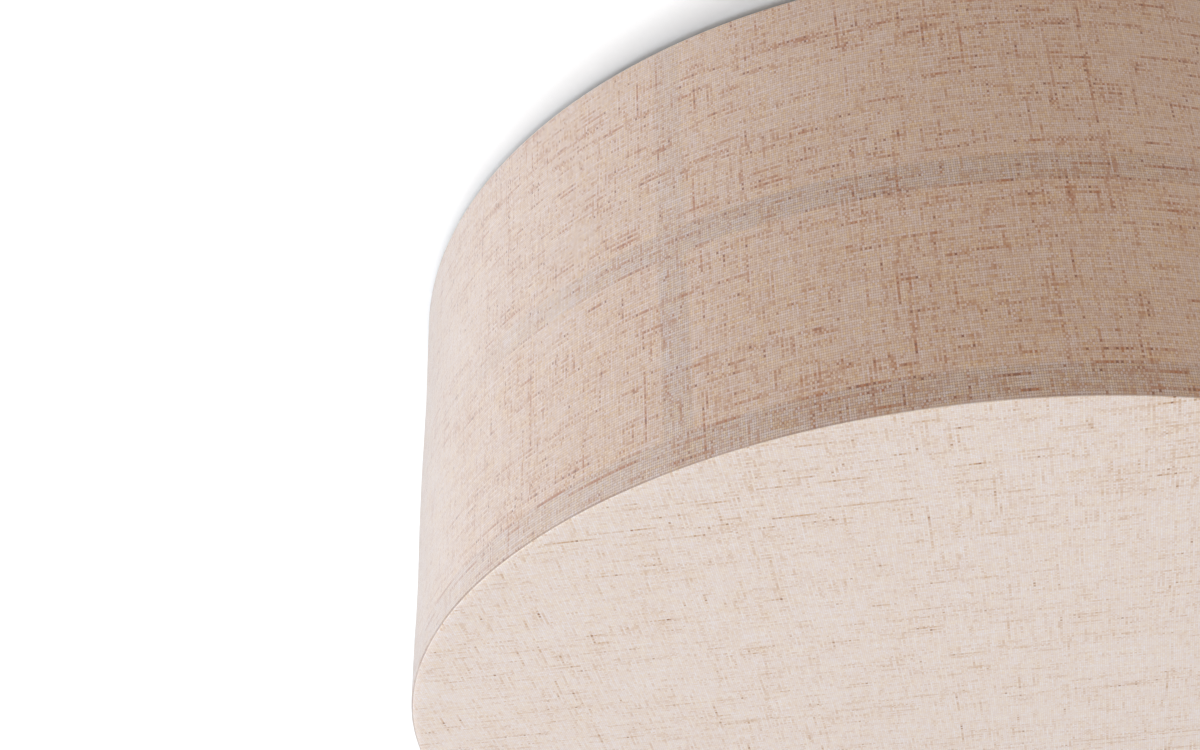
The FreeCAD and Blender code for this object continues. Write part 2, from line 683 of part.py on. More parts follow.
def holder_bracket(number):
    """A bent strap: a foot screwed under the pan and a leg that the holder's nipple passes through."""
    body = new_body(f"holder_bracket_{number}", lamp_azimuth(number))
    side = new_sketch(body, "XZ_Plane")
    leg_low = "-lamp_drop - bracket_below"
    foot_end = "bracket_place + bracket_foot"
    inner_bend = "(bracket_bend - bracket_thick)"
    foot_low = f"{PAN_UNDERSIDE} - bracket_thick"
    add_outline(side, [
        ("bracket_place", leg_low),
        (HOLDER_BACK, leg_low),
        (HOLDER_BACK, f"{foot_low} - {inner_bend}", inner_bend, LEFT),
        (f"{HOLDER_BACK} + {inner_bend}", foot_low),
        (foot_end, foot_low),
        (foot_end, PAN_UNDERSIDE),
        ("bracket_place + bracket_bend", PAN_UNDERSIDE, "bracket_bend", RIGHT),
        ("bracket_place", f"{PAN_UNDERSIDE} - bracket_bend"),
    ])
    pad(body, side, "bracket_width", both_ways=True)
    nipple_hole = new_sketch(body, "YZ_Plane")
    add_circle(nipple_hole, "0", "-lamp_drop", "nipple_radius + screw_play")
    pocket_through(body, nipple_hole)
    screw_holes = new_sketch(body, "XY_Plane")
    for place in ("-bracket_screw_spread / 2", "bracket_screw_spread / 2"):
        add_circle(screw_holes, "bracket_screw_place", place, "screw_radius + screw_play")
    pocket_through(body, screw_holes)


def bracket_screws():
    """The pan-head screws that hold the brackets' feet, two a bracket."""
    body = new_body("bracket_screws", str(LAMP_AZIMUTH))
    seat = f"{PAN_UNDERSIDE} - bracket_thick"
    shanks = new_sketch(body, "XY_Plane", level=seat)
    heads = new_sketch(body, "XY_Plane", level=f"{seat} - screw_head_height")
    for place in ("-bracket_screw_spread / 2", "bracket_screw_spread / 2"):
        add_circle(shanks, "bracket_screw_place", place, "screw_radius")
        add_circle(heads, "bracket_screw_place", place, "screw_head_radius")
    features = [pad(body, shanks, f"-({seat}) - screw_setback"), pad(body, heads, "screw_head_height")]
    repeat_around(body, features, "lamp_count")


def holder_fixings():
    """Hollow threaded nipples through the brackets into the holders, and the nuts on their inner ends."""
    nipples = new_body("holder_nipples", str(LAMP_AZIMUTH))
    tube = new_sketch(nipples, "YZ_Plane", up="-lamp_drop", level="bracket_place - nipple_outside")
    add_circle(tube, "0", "0", "nipple_radius")
    add_circle(tube, "0", "0", "nipple_bore_radius")
    tube_length = "nipple_outside + bracket_thick + nipple_inside"
    repeat_around(nipples, [pad(nipples, tube, tube_length)], "lamp_count")
    nuts = new_body("nipple_nuts", str(LAMP_AZIMUTH))
    hexagon = new_sketch(nuts, "YZ_Plane", up="-lamp_drop", level="bracket_place - nut_thick")
    add_outline(hexagon, hexagon_corners("nut_flats"))
    add_circle(hexagon, "0", "0", "nipple_radius + screw_play")
    repeat_around(nuts, [pad(nuts, hexagon, "nut_thick")], "lamp_count")


def lamp_holder(number):
    """A moulded holder: domed cap, ribbed skirt, ceramic insert and the threaded shell that takes the lamp."""
    azimuth = lamp_azimuth(number)
    inner_shoulder = "(holder_shoulder - holder_wall)"
    shoulder_radius = "(holder_radius - holder_shoulder)"
    lamp_turned(f"holder_cap_{number}", azimuth, [
        (HOLDER_BACK, "nipple_radius + screw_play"),
        (HOLDER_BACK, shoulder_radius, "holder_shoulder", LEFT),
        (f"{HOLDER_BACK} + holder_shoulder", "holder_radius"),
        (CAP_FRONT, "holder_radius"),
        (CAP_FRONT, HOLDER_BORE),
        (f"{HOLDER_BACK} + holder_shoulder", HOLDER_BORE, inner_shoulder, RIGHT),
        (f"{HOLDER_BACK} + holder_wall", shoulder_radius),
        (f"{HOLDER_BACK} + holder_wall", "nipple_radius + screw_play"),
    ])
    bead_start = f"{HOLDER_FRONT} - bead_length"
    lamp_turned(f"holder_skirt_{number}", azimuth, [
        (CAP_FRONT, HOLDER_BORE),
        (CAP_FRONT, "holder_radius"),
        (bead_start, "holder_radius"),
        (bead_start, "holder_radius + bead_height"),
        (HOLDER_FRONT, "holder_radius + bead_height"),
        (HOLDER_FRONT, HOLDER_BORE),
    ])
    lamp_turned(f"holder_insert_{number}", azimuth, [
        (INSERT_BACK, "0"),
        (INSERT_BACK, INSERT_OUTSIDE),
        (f"{HOLDER_FRONT} - insert_setback", INSERT_OUTSIDE),
        (f"{HOLDER_FRONT} - insert_setback", INSERT_INSIDE),
        (INSERT_FLOOR, INSERT_INSIDE),
        (INSERT_FLOOR, "0"),
    ])
    shell_end = f"{HOLDER_FRONT} - insert_setback - shell_seat"
    shell_start = f"{INSERT_FLOOR} + shell_gap"
    lamp_turned(f"screw_shell_{number}", azimuth,
                rectangle(shell_start, shell_end, SHELL_INSIDE, SHELL_OUTSIDE))


def centre_contacts():
    """The contact button on the floor of each holder, on which the lamp's tip rests."""
    body = new_body("centre_contacts", str(LAMP_AZIMUTH))
    button = new_sketch(body, "YZ_Plane", up="-lamp_drop", level=INSERT_FLOOR)
    add_circle(button, "0", "0", "contact_radius")
    repeat_around(body, [pad(body, button, "contact_height")], "lamp_count")


# ---------------------------------------------------------------- screw lamps

def bulb(number):
    """A frosted lamp with a screw base: tip, insulator, threaded base, plastic collar and round globe."""
    azimuth = lamp_azimuth(number)
    insulator_start = f"{LAMP_TIP} + tip_height + tip_play"
    lamp_turned(f"bulb_{number}_tip", azimuth,
                rectangle(LAMP_TIP, f"{LAMP_TIP} + tip_height", "0", "tip_radius"))
    lamp_turned(f"bulb_{number}_insulator", azimuth, [
        (insulator_start, "0"),
        (insulator_start, "tip_radius"),
        (BASE_START, "insulator_radius"),
        (BASE_START, "0"),
    ])
    shoulder = f"({BASE_START} + base_radius - insulator_radius)"
    lamp_turned(f"bulb_{number}_base", azimuth, [
        (BASE_START, "insulator_radius"),
        (shoulder, "base_radius"),
        (BASE_END, "base_radius"),
        (BASE_END, "base_radius - base_thick"),
        (shoulder, "base_radius - base_thick"),
        (f"{BASE_START} + base_thick", "insulator_radius"),
    ])
    joint_radius = "sqrt(globe_radius ^ 2 - globe_joint ^ 2)"
    lamp_turned(f"bulb_{number}_collar", azimuth, [
        (BASE_END, "base_radius", "collar_curve", RIGHT),
        (GLOBE_JOINT, joint_radius),
        (GLOBE_JOINT, f"{joint_radius} - collar_wall", "collar_curve", LEFT),
        (BASE_END, "base_radius - collar_wall"),
    ])
    inner_joint_radius = "sqrt((globe_radius - globe_thick) ^ 2 - globe_joint ^ 2)"
    lamp_turned(f"bulb_{number}_globe", azimuth, [
        (GLOBE_JOINT, joint_radius, "globe_radius", LEFT),
        (f"{GLOBE_CENTRE} + globe_radius", "0"),
        (f"{GLOBE_CENTRE} + globe_radius - globe_thick", "0", "globe_radius - globe_thick", RIGHT),
        (GLOBE_JOINT, inner_joint_radius),
    ])


# ---------------------------------------------------------------- leads

def polar(azimuth, outwards, aside, height):
    """A point given by an azimuth, a distance along it, an offset square to it and a height."""
    turn = math.radians(azimuth)
    along = FreeCAD.Vector(math.cos(turn), math.sin(turn), 0)
    square = FreeCAD.Vector(-math.sin(turn), math.cos(turn), 0)
    return along * outwards + square * aside + FreeCAD.Vector(0, 0, height)


def lead_solid(points, bends):
    """A round lead along straight runs that tangent arcs join, one bend radius for each inner point."""
    edges = []
    start = points[0]
    length = 0.0
    for corner, before, after, bend in zip(points[1:-1], points[:-2], points[2:], bends):
        arriving = (corner - before).normalize()
        leaving = (after - corner).normalize()
        half_turn = arriving.getAngle(leaving) / 2
        longest = 0.45 * min((corner - before).Length, (after - corner).Length) / math.tan(half_turn)
        radius = min(bend, longest)
        tangent = radius * math.tan(half_turn)
        arc_start = corner - arriving * tangent
        arc_end = corner + leaving * tangent
        to_centre = (leaving - arriving).normalize()
        arc_middle = corner + to_centre * (radius / math.cos(half_turn) - radius)
        edges.append(Part.LineSegment(start, arc_start).toShape())
        edges.append(Part.Arc(arc_start, arc_middle, arc_end).toShape())
        length += (arc_start - start).Length + radius * 2 * half_turn
        start = arc_end
        print(f"lead bend radius {radius:.1f}, turn {math.degrees(2 * half_turn):.0f} degrees")
    edges.append(Part.LineSegment(start, points[-1]).toShape())
    length += (points[-1] - start).Length
    section = Part.Circle(points[0], points[1] - points[0], size("lead_radius"))
    path = Part.Wire(edges)
    solid = path.makePipeShell([Part.Wire(section.toShape())], True, False)
    expected = math.pi * size("lead_radius") ** 2 * length
    print(f"lead length {length:.1f}, volume {solid.Volume:.1f}, section times length {expected:.1f}")
    return solid


def add_leads(label, solids):
    """One node of separate leads; they are drawn where they lie, so their placement stays at the origin."""
    feature = document.addObject("Part::Feature", label)
    feature.Label = label
    feature.Shape = Part.makeCompound(solids) if len(solids) > 1 else solids[0]
    feature.Placement = FreeCAD.Placement()
    sub_parts.append(feature)


def leads():
    """Live and neutral leads run from the block to the last holder, then from holder to holder."""
    step = 360.0 / size("lamp_count")
    numbers = range(int(size("lamp_count")))
    azimuths = [LAMP_AZIMUTH - step + step * number for number in numbers]
    end = size(INSERT_BACK)
    aside = size("lead_spread")
    pole_level = size(POLE_LEVEL)
    block_end = -size("block_place") + size("clamp_place") - 2 * size("lead_radius")
    gap_front = -size("bracket_place") - size("bracket_width") / 2
    for label, pole, side, drop in (
            ("live_leads", size("pole_pitch"), 1, size("drop_place")),
            ("neutral_leads", 0.0, -1, size("drop_place") - size("drop_step"))):
        level = -size("lamp_drop") + side * size("lead_level")
        fall = polar(azimuths[0], drop, -aside, 0)
        feed_points = [
            FreeCAD.Vector(pole, block_end, pole_level),
            FreeCAD.Vector(pole, gap_front, pole_level),
            FreeCAD.Vector(fall.x, fall.y, pole_level),
            FreeCAD.Vector(fall.x, fall.y, level),
            polar(azimuths[0], end, -aside, level),
        ]
        outer_bend = size("drop_bend") + (size("drop_step") if side < 0 else 0)
        solids = [lead_solid(feed_points, [size("lead_bend"), size("drop_bend"), outer_bend])]
        for here, there in zip(azimuths[:-1], azimuths[1:]):
            corner = polar(here + step / 2, aside / math.sin(math.radians(step / 2)), 0, level)
            points = [polar(here, end, aside, level), corner, polar(there, end, -aside, level)]
            solids.append(lead_solid(points, [size("lead_bend")]))
        add_leads(label, solids)
    tag_level = size(TAG_UNDERSIDE) - size("lead_radius")
    tag_end = -size("earth_place_left") + size("washer_radius") + size("lead_radius")
    tongue_end = -size("earth_place_left") + size("tag_length")
    pole = -size("pole_pitch")
    earth_line = -size("earth_place_front")
    earth_points = [
        FreeCAD.Vector(pole, block_end, pole_level),
        FreeCAD.Vector(pole, earth_line - size("block_depth") / 2, pole_level),
        FreeCAD.Vector(pole - size("pole_pitch") / 2, earth_line, (pole_level + tag_level) / 2),
        FreeCAD.Vector(tongue_end + size("tag_length") / 2, earth_line, tag_level),
        FreeCAD.Vector(tag_end, earth_line + size("lead_radius") / 4, tag_level),
    ]
    add_leads("earth_lead", [lead_solid(earth_points, [size("lead_bend")] * 3)])


# ---------------------------------------------------------------- build, test and write

shade_cloth()
shade_frame()
fitter_ring()
fitter_arms()
diffuser()
diffuser_clips()
ceiling_pan()
cable_grommet()
terminal_block()
earth_point()
bracket_screws()
holder_fixings()
centre_contacts()
for lamp_number in range(1, int(size("lamp_count")) + 1):
    holder_bracket(lamp_number)
    lamp_holder(lamp_number)
    bulb(lamp_number)
leads()
document.recompute()

for item in document.Objects:
    if "Invalid" in item.State or "Error" in item.State:
        raise RuntimeError(f"{item.Label} failed: {item.State}")
for part in sub_parts:
    if part.Shape.isNull() or not part.Shape.isValid() or not part.Shape.Solids:
        raise RuntimeError(f"{part.Label} has no valid solid")

os.makedirs("parts", exist_ok=True)
for part in sub_parts:
    part.Shape.exportStep(f"parts/{part.Label}.step")
    box = part.Shape.BoundBox
    print(f"{part.Label}: {len(part.Shape.Solids)} solids, volume {part.Shape.Volume:.1f}, "
          f"x {box.XMin:.1f} {box.XMax:.1f}, y {box.YMin:.1f} {box.YMax:.1f}, "
          f"z {box.ZMin:.1f} {box.ZMax:.1f}")
print(f"{len(sub_parts)} nodes")
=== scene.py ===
import bmesh
import bpy
import json
import math
import numpy as np
from mathutils import Matrix, Vector


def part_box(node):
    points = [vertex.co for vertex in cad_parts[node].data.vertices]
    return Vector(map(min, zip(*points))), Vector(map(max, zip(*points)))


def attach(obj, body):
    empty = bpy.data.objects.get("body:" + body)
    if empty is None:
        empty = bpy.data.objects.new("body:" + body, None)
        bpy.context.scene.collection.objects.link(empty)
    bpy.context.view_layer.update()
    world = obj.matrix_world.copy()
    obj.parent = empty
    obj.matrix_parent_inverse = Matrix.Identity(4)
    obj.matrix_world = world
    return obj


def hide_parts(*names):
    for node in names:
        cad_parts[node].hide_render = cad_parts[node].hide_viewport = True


# Flush ceiling light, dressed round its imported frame. Metres, in the frame's own axes: the drum
# stands on the Z axis and hangs below z = 0. An azimuth is in degrees from +X, anticlockwise seen
# from above.

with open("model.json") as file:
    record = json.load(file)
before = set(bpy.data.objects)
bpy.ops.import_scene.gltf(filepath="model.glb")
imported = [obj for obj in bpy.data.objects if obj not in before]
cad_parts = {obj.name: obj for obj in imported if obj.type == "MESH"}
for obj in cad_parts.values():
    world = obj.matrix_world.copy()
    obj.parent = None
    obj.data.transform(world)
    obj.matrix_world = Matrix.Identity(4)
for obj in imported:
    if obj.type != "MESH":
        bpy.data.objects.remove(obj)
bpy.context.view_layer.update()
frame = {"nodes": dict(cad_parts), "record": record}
bpy.context.scene.view_settings.view_transform = "Standard"

MM = 0.001

# ---------------------------------------------------------------- sizes read from the frame

cloth_low, cloth_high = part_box("shade_cloth")
middle_ring_low, middle_ring_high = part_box("middle_ring")
bottom_ring_low, bottom_ring_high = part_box("bottom_ring")
top_ring_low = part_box("top_ring")[0]
cover_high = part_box("diffuser_cloth")[1]
hoop_low, hoop_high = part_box("diffuser_hoop")

DRUM_RADIUS = -cloth_low.y
DRUM_TOP = cloth_high.z
DRUM_BOTTOM = cloth_low.z
RING_OUTSIDE = middle_ring_high.x
CLOTH_THICK = DRUM_RADIUS - RING_OUTSIDE
STRAP_THICK = 1.2 * MM
STRAP_WIDTH = bottom_ring_high.z - bottom_ring_low.z
FRAME_INSIDE = RING_OUTSIDE - STRAP_THICK
UPRIGHT_INSIDE = FRAME_INSIDE - STRAP_THICK
UPRIGHT_COUNT = 6
UPRIGHT_STEP = 360 / UPRIGHT_COUNT
UPRIGHT_AZIMUTH = 270
HEM_INSIDE = FRAME_INSIDE - CLOTH_THICK
HEM_DEPTH = 12 * MM
SEAM_AZIMUTH = 90
SEAM_HALF = 6 * MM
SEAM_LIFT = cloth_high.y - DRUM_RADIUS

# ---------------------------------------------------------------- mesh helpers

SHARP_DEGREES = 35          # faces that meet at more than this keep a hard edge


def mesh_object(name, points, faces):
    """A mesh with soft shading, broken only at its sharp edges."""
    mesh = bpy.data.meshes.new(name)
    mesh.from_pydata([tuple(point) for point in points], [], faces)
    mesh.validate()
    mesh.update()
    mesh.shade_smooth()
    mesh.set_sharp_from_angle(angle=math.radians(SHARP_DEGREES))
    piece = bpy.data.objects.new(name, mesh)
    bpy.context.scene.collection.objects.link(piece)
    return piece


def even_angles(count):
    """Angles of a full turn in even steps."""
    return np.linspace(0, 2 * math.pi, count, endpoint=False)


def for_each(angles, row):
    """The same row of numbers for every angle."""
    return np.repeat(np.array(row)[None, :], len(angles), axis=0)


def turned(name, radii, heights, angles, whole=True, place=Matrix.Identity(4)):
    """A closed outline carried round the local Z axis. radii and heights have a row for each angle
    and a column for each point of the outline. Faces point out of the piece where the outline runs
    up on its outer side, and into it where it runs down there. An outline that isn't carried all
    the way round gets end faces."""
    columns, points_round = radii.shape
    across = np.cos(angles)[:, None] * radii
    along = np.sin(angles)[:, None] * radii
    points = np.stack([across, along, heights], axis=-1).reshape(-1, 3)
    matrix = np.array(place)
    points = points @ matrix[:3, :3].T + matrix[:3, 3]
    faces = []
    for column in range(columns if whole else columns - 1):
        here = column * points_round
        there = (column + 1) % columns * points_round
        for row in range(points_round):
            after = (row + 1) % points_round
            faces.append((here + row, there + row, there + after, here + after))
    if not whole:
        last = (columns - 1) * points_round
        faces.append(tuple(range(points_round)))
        faces.append(tuple(last + row for row in reversed(range(points_round))))
    return mesh_object(name, points, faces)


def corner(radius_centre, height_centre, radius, first_degrees, last_degrees, steps=5):
    """Points of an outline's rounded corner, as (radius, height)."""
    turn = np.radians(np.linspace(first_degrees, last_degrees, steps))
    return [(radius_centre + radius * math.cos(a), height_centre + radius * math.sin(a))
            for a in turn]


def joined(name, parts):
    """Several meshes as one piece."""
    bpy.ops.object.select_all(action="DESELECT")
    for part in parts:
        part.select_set(True)
    bpy.context.view_layer.objects.active = parts[0]
    bpy.ops.object.join()
    parts[0].name = name
    parts[0].data.name = name
    return parts[0]


# ---------------------------------------------------------------- material helpers


def srgb(red, green, blue):
    """A colour given by its picture values from 0 to 255, as linear light."""
    shares = [value / 255 for value in (red, green, blue)]
    linear = [v / 12.92 if v <= 0.04045 else ((v + 0.055) / 1.055) ** 2.4 for v in shares]
    return linear + [1.0]


class Nodes:
    """Short calls for the nodes that repeat in a material or a world."""

    def __init__(self, tree):
        self.tree = tree

    def put(self, socket, value):
        """Joins another node's output to the socket, or sets the socket's own value."""
        if isinstance(value, bpy.types.NodeSocket):
            self.tree.links.new(value, socket)
        else:
            socket.default_value = value

    def node(self, kind, settings=None, values=None):
        """A new node with its settings, and values or links for its sockets."""
        made = self.tree.nodes.new(kind)
        for setting, value in (settings or {}).items():
            setattr(made, setting, value)
        for socket, value in (values or {}).items():
            self.put(made.inputs[socket], value)
        return made

    def place(self):
        """The place on the piece, in its own axes."""
        return self.node("ShaderNodeTexCoord").outputs["Object"]

    def turned_place(self, angle):
        """The place on the piece as x, y and z, turned about its Z axis."""
        turn = self.node("ShaderNodeVectorRotate", {"rotation_type": "Z_AXIS"},
                         {"Vector": self.place(), "Angle": angle})
        return self.parts(turn.outputs[0])

    def parts(self, vector):
        """A vector's three numbers."""
        return self.node("ShaderNodeSeparateXYZ", values={0: vector}).outputs

    def vector(self, x, y, z):
        """A vector of three numbers."""
        return self.node("ShaderNodeCombineXYZ", values={0: x, 1: y, 2: z}).outputs[0]

    def math(self, operation, first, second=0.0, third=0.0):
        """One step of arithmetic."""
        values = {0: first, 1: second, 2: third}
        return self.node("ShaderNodeMath", {"operation": operation}, values).outputs[0]

    def noise(self, vector, scale=1.0, detail=2.0, dimensions="2D"):
        """Smooth noise, mostly between 0.3 and 0.7."""
        values = {"Vector": vector, "Scale": scale, "Detail": detail}
        return self.node("ShaderNodeTexNoise", {"noise_dimensions": dimensions},
                         values).outputs["Fac"]

    def random(self, first, second):
        """A number from 0 to 1 that is settled by two others."""
        place = self.vector(first, second, 0.0)
        made = self.node("ShaderNodeTexWhiteNoise", {"noise_dimensions": "2D"}, {"Vector": place})
        return made.outputs["Value"]

    def blend(self, kind, settings, share, first, second):
        """A mix node of a kind: all of the first value at share 0, and of the second at share 1."""
        made = self.node("ShaderNodeMix", settings)
        values = {"Factor_Float": share, f"A_{kind}": first, f"B_{kind}": second}
        for socket, value in values.items():
            self.put(next(i for i in made.inputs if i.identifier == socket), value)
        return next(o for o in made.outputs if o.identifier == f"Result_{kind}")

    def choose(self, share, first, second):
        """The first number at share 0, and the second at share 1."""
        return self.blend("Float", {"data_type": "FLOAT"}, share, first, second)

    def mix(self, share, first, second, blend="MIX"):
        """The first colour at share 0, and at share 1 the second, or its blend with the first."""
        return self.blend("Color", {"data_type": "RGBA", "blend_type": blend}, share, first, second)

    def ramp(self, value, low, high, start=0.0, end=1.0):
        """A number that goes from start to end while the value goes from low to high."""
        made = self.node("ShaderNodeMapRange", {"clamp": True})
        for socket, number in enumerate((value, low, high, start, end)):
            self.put(made.inputs[socket], number)
        return made.outputs[0]

    def bump(self, height, distance, strength=1.0):
        """A normal that leans with a height from 0 to 1 over a distance."""
        values = {"Height": height, "Distance": distance, "Strength": strength}
        return self.node("ShaderNodeBump", values=values).outputs["Normal"]

    def seen_directly(self):
        """1 for rays from the camera, a mirror or a glass, 0 for light that falls on the object."""
        path = self.node("ShaderNodeLightPath").outputs
        direct = self.math("MAXIMUM", path["Is Camera Ray"], path["Is Glossy Ray"])
        return self.math("MAXIMUM", direct, path["Is Transmission Ray"])


class Finish(Nodes):
    """A material made of nodes on a Principled shader, whose constants are given by name."""

    def __init__(self, name, **constants):
        self.material = bpy.data.materials.new(name)
        self.material.use_nodes = True
        super().__init__(self.material.node_tree)
        self.shader = self.tree.nodes["Principled BSDF"]
        for socket, value in constants.items():
            self.shader.inputs[socket.replace("_", " ")].default_value = value

    def show(self, colour=None, roughness=None, normal=None):
        """Puts what varies over the surface on the shader."""
        shown = (("Base Color", colour), ("Roughness", roughness), ("Normal", normal))
        for socket, value in shown:
            if value is not None:
                self.put(self.shader.inputs[socket], value)
        return self.material

    def show_grey(self, value):
        """Puts one number on the shader as a grey."""
        return self.show(self.vector(value, value, value))

    def glowing(self, strength):
        """The shader with a light of its own that only the camera, a mirror or a glass sees."""
        glow = self.node("ShaderNodeEmission", values={
            "Strength": self.math("MULTIPLY", self.seen_directly(), strength)})
        return self.node("ShaderNodeAddShader",
                         values={0: self.shader.outputs[0], 1: glow.outputs[0]})

    def surface(self, shader):
        """Makes a shader node the material's surface."""
        output = self.tree.nodes["Material Output"]
        self.tree.links.new(shader.outputs[0], output.inputs["Surface"])
        return self.material


# ---------------------------------------------------------------- linen

WARP_PITCH = 0.68 * MM      # from one upright thread to the next
WEFT_PITCH = 0.90 * MM      # from one level row to the next
WANDER = 0.16 * MM          # how far a thread strays
WANDER_ALONG = 11 * MM      # its waver repeats at 2 pi times this along the thread
WANDER_ACROSS = 7 * MM      # and 2 pi times this across the threads
SLUB_LENGTH = 13 * MM
GOLDEN_LENGTH = 8 * MM
SPUN_STEP = 1.37            # how far apart neighbouring threads lie in the noise that spins them
GOLDEN_STEP = 2.11
RARITY = 5.0                # the higher, the fewer threads are coarse
WARP_SEED = 1.7
WEFT_SEED = 5.9

UNDER_HEIGHT = 0.55         # of a thread where another crosses over it
GAP_HEIGHTS = (0.25, 0.85)  # the gap between threads shows below these
PATCH = (38 * MM, 26 * MM)  # size of the slow changes of tone
SPUN_SHARES = (0.3, 0.36, 0.12)     # of the thread beneath, the crossing and the patch
SLUB_SHARES = (0.16, 0.16)          # of the crossing and the patch
DEEP_FROM, DEEP_FULL = 0.55, 1.25
GOLDEN_FROM, GOLDEN_FULL = 0.40, 0.72
KNOT_RISE = 0.12
KNOT_SLUB = (0.4, 0.7)      # a knot needs a slub of this share or more
KNOT_SHARE = 0.8

SHEEN_TINT = srgb(255, 253, 252)
LINEN_ROUGHNESS = 0.9
LINEN_GLOSS = 0.15
THREAD_RELIEF = 0.12 * MM
# painted shade of the straps behind the sleeve: its softness, where and how strongly it shows, and
# its tint
STRAP_SOFTNESS = 0.6 * MM
STRAP_SHADE_TURN = math.radians(17)   # the painted strap shade is strongest at this angle, and every third of a turn on
STRAP_SHADE_RANGE = (-1.0, 0.9)       # of a cosine that is 1 where it is strongest
UPRIGHT_SHOWS = (0.85, 0.5)     # how strongly the painted shade of an upright shows, below and above the middle ring
MIDDLE_SHOWS = (0.05, 1.0)      # and of the rings, where their painted shade is weakest and strongest
BOTTOM_SHOWS = (0.5, 1.0)
STRAP_SHADE_TINT = [0.93, 0.93, 0.95, 1.0]
# painted shade in the fold at the sleeve's bottom edge: its heights, strength and colour
CREASE_SHADE_HEIGHTS = (0.1 * MM, 0.35 * MM)
CREASE_SHADE_SHARE = 0.6
CREASE_SHADE_COLOUR = srgb(122, 92, 72)
GRAIN_TURN = 22.7               # the covered bottom's threads run this far round from the X axis

WALL_CLOTH = {
    "pale": srgb(209, 191, 185),
    "deep": srgb(186, 147, 115),
    "golden": (1.065, 0.965, 0.63, 1.0),
    "brown": srgb(162, 87, 0),
    "dark": srgb(112, 50, 4),
    "gap_share": 0.75,
    "slub_from": 0.765,
    "slub_full": 1.05,
    "warp_coarse": 0.17,
    "weft_coarse": 0.27,
    "hidden": 0.12,
    "knot_from": 0.85,
}
WALL_OPEN_GAP = srgb(164, 114, 80)
# the colour between the threads where the painted strap shade lies
WALL_STRAP_SHADED_GAP = srgb(118, 82, 66)
COVER_CLOTH = {
    "pale": srgb(229, 222, 222),
    "deep": srgb(220, 201, 191),
    "golden": (1.015, 0.98, 0.86, 1.0),
    "brown": srgb(196, 155, 114),
    "dark": srgb(132, 80, 48),
    "gap_share": 0.5,
    "slub_from": 0.78,
    "slub_full": 1.22,
    "warp_coarse": 0.14,
    "weft_coarse": 0.24,
    "hidden": 0.10,
    "knot_from": 0.86,
}
COVER_GAP = srgb(210, 176, 144)


def between(finish, value, low, high, softness):
    """1 where the value lies between two limits, with soft edges."""
    rising = finish.ramp(value, low - softness, low + softness)
    falling = finish.ramp(value, high - softness, high + softness)
    return finish.math("SUBTRACT", rising, falling)


def added(finish, total, *terms):
    """A number with others added to it, each times its share."""
    for term, share in terms:
        total = finish.math("ADD", total, finish.math("MULTIPLY", term, share))
    return total


def thread_set(finish, across, along, pitch, coarseness, seed):
    """One set of parallel threads: each one's round section and number, how thick it is spun at
    each place, where it is a brown slub, and how golden it is. A few are slubs for most of their
    length."""
    slow = finish.math("SINE", finish.math("MULTIPLY", across, 1 / WANDER_ACROSS))
    phase = finish.math("ADD", finish.math("MULTIPLY", along, 1 / WANDER_ALONG), slow)
    waver = finish.math("MULTIPLY", finish.math("SINE", phase), WANDER)
    count = finish.math("MULTIPLY", finish.math("ADD", across, waver), 1 / pitch)
    index = finish.math("FLOOR", count)
    section = finish.math(
        "SINE", finish.math("MULTIPLY", finish.math("FRACT", count), math.pi))
    run = finish.math("ADD", finish.math("MULTIPLY", along, 1 / SLUB_LENGTH), seed)
    spun = finish.noise(
        finish.vector(run, finish.math("MULTIPLY", index, SPUN_STEP), 0.0), detail=4.0)
    coarse = finish.math("POWER", finish.random(index, seed), RARITY)
    slub = added(finish, spun, (coarse, coarseness))
    golden_run = finish.math("ADD", finish.math("MULTIPLY", along, 1 / GOLDEN_LENGTH), seed * 3)
    golden = finish.noise(
        finish.vector(golden_run, finish.math("MULTIPLY", index, GOLDEN_STEP), 0.0), detail=2.0)
    return section, index, spun, slub, golden


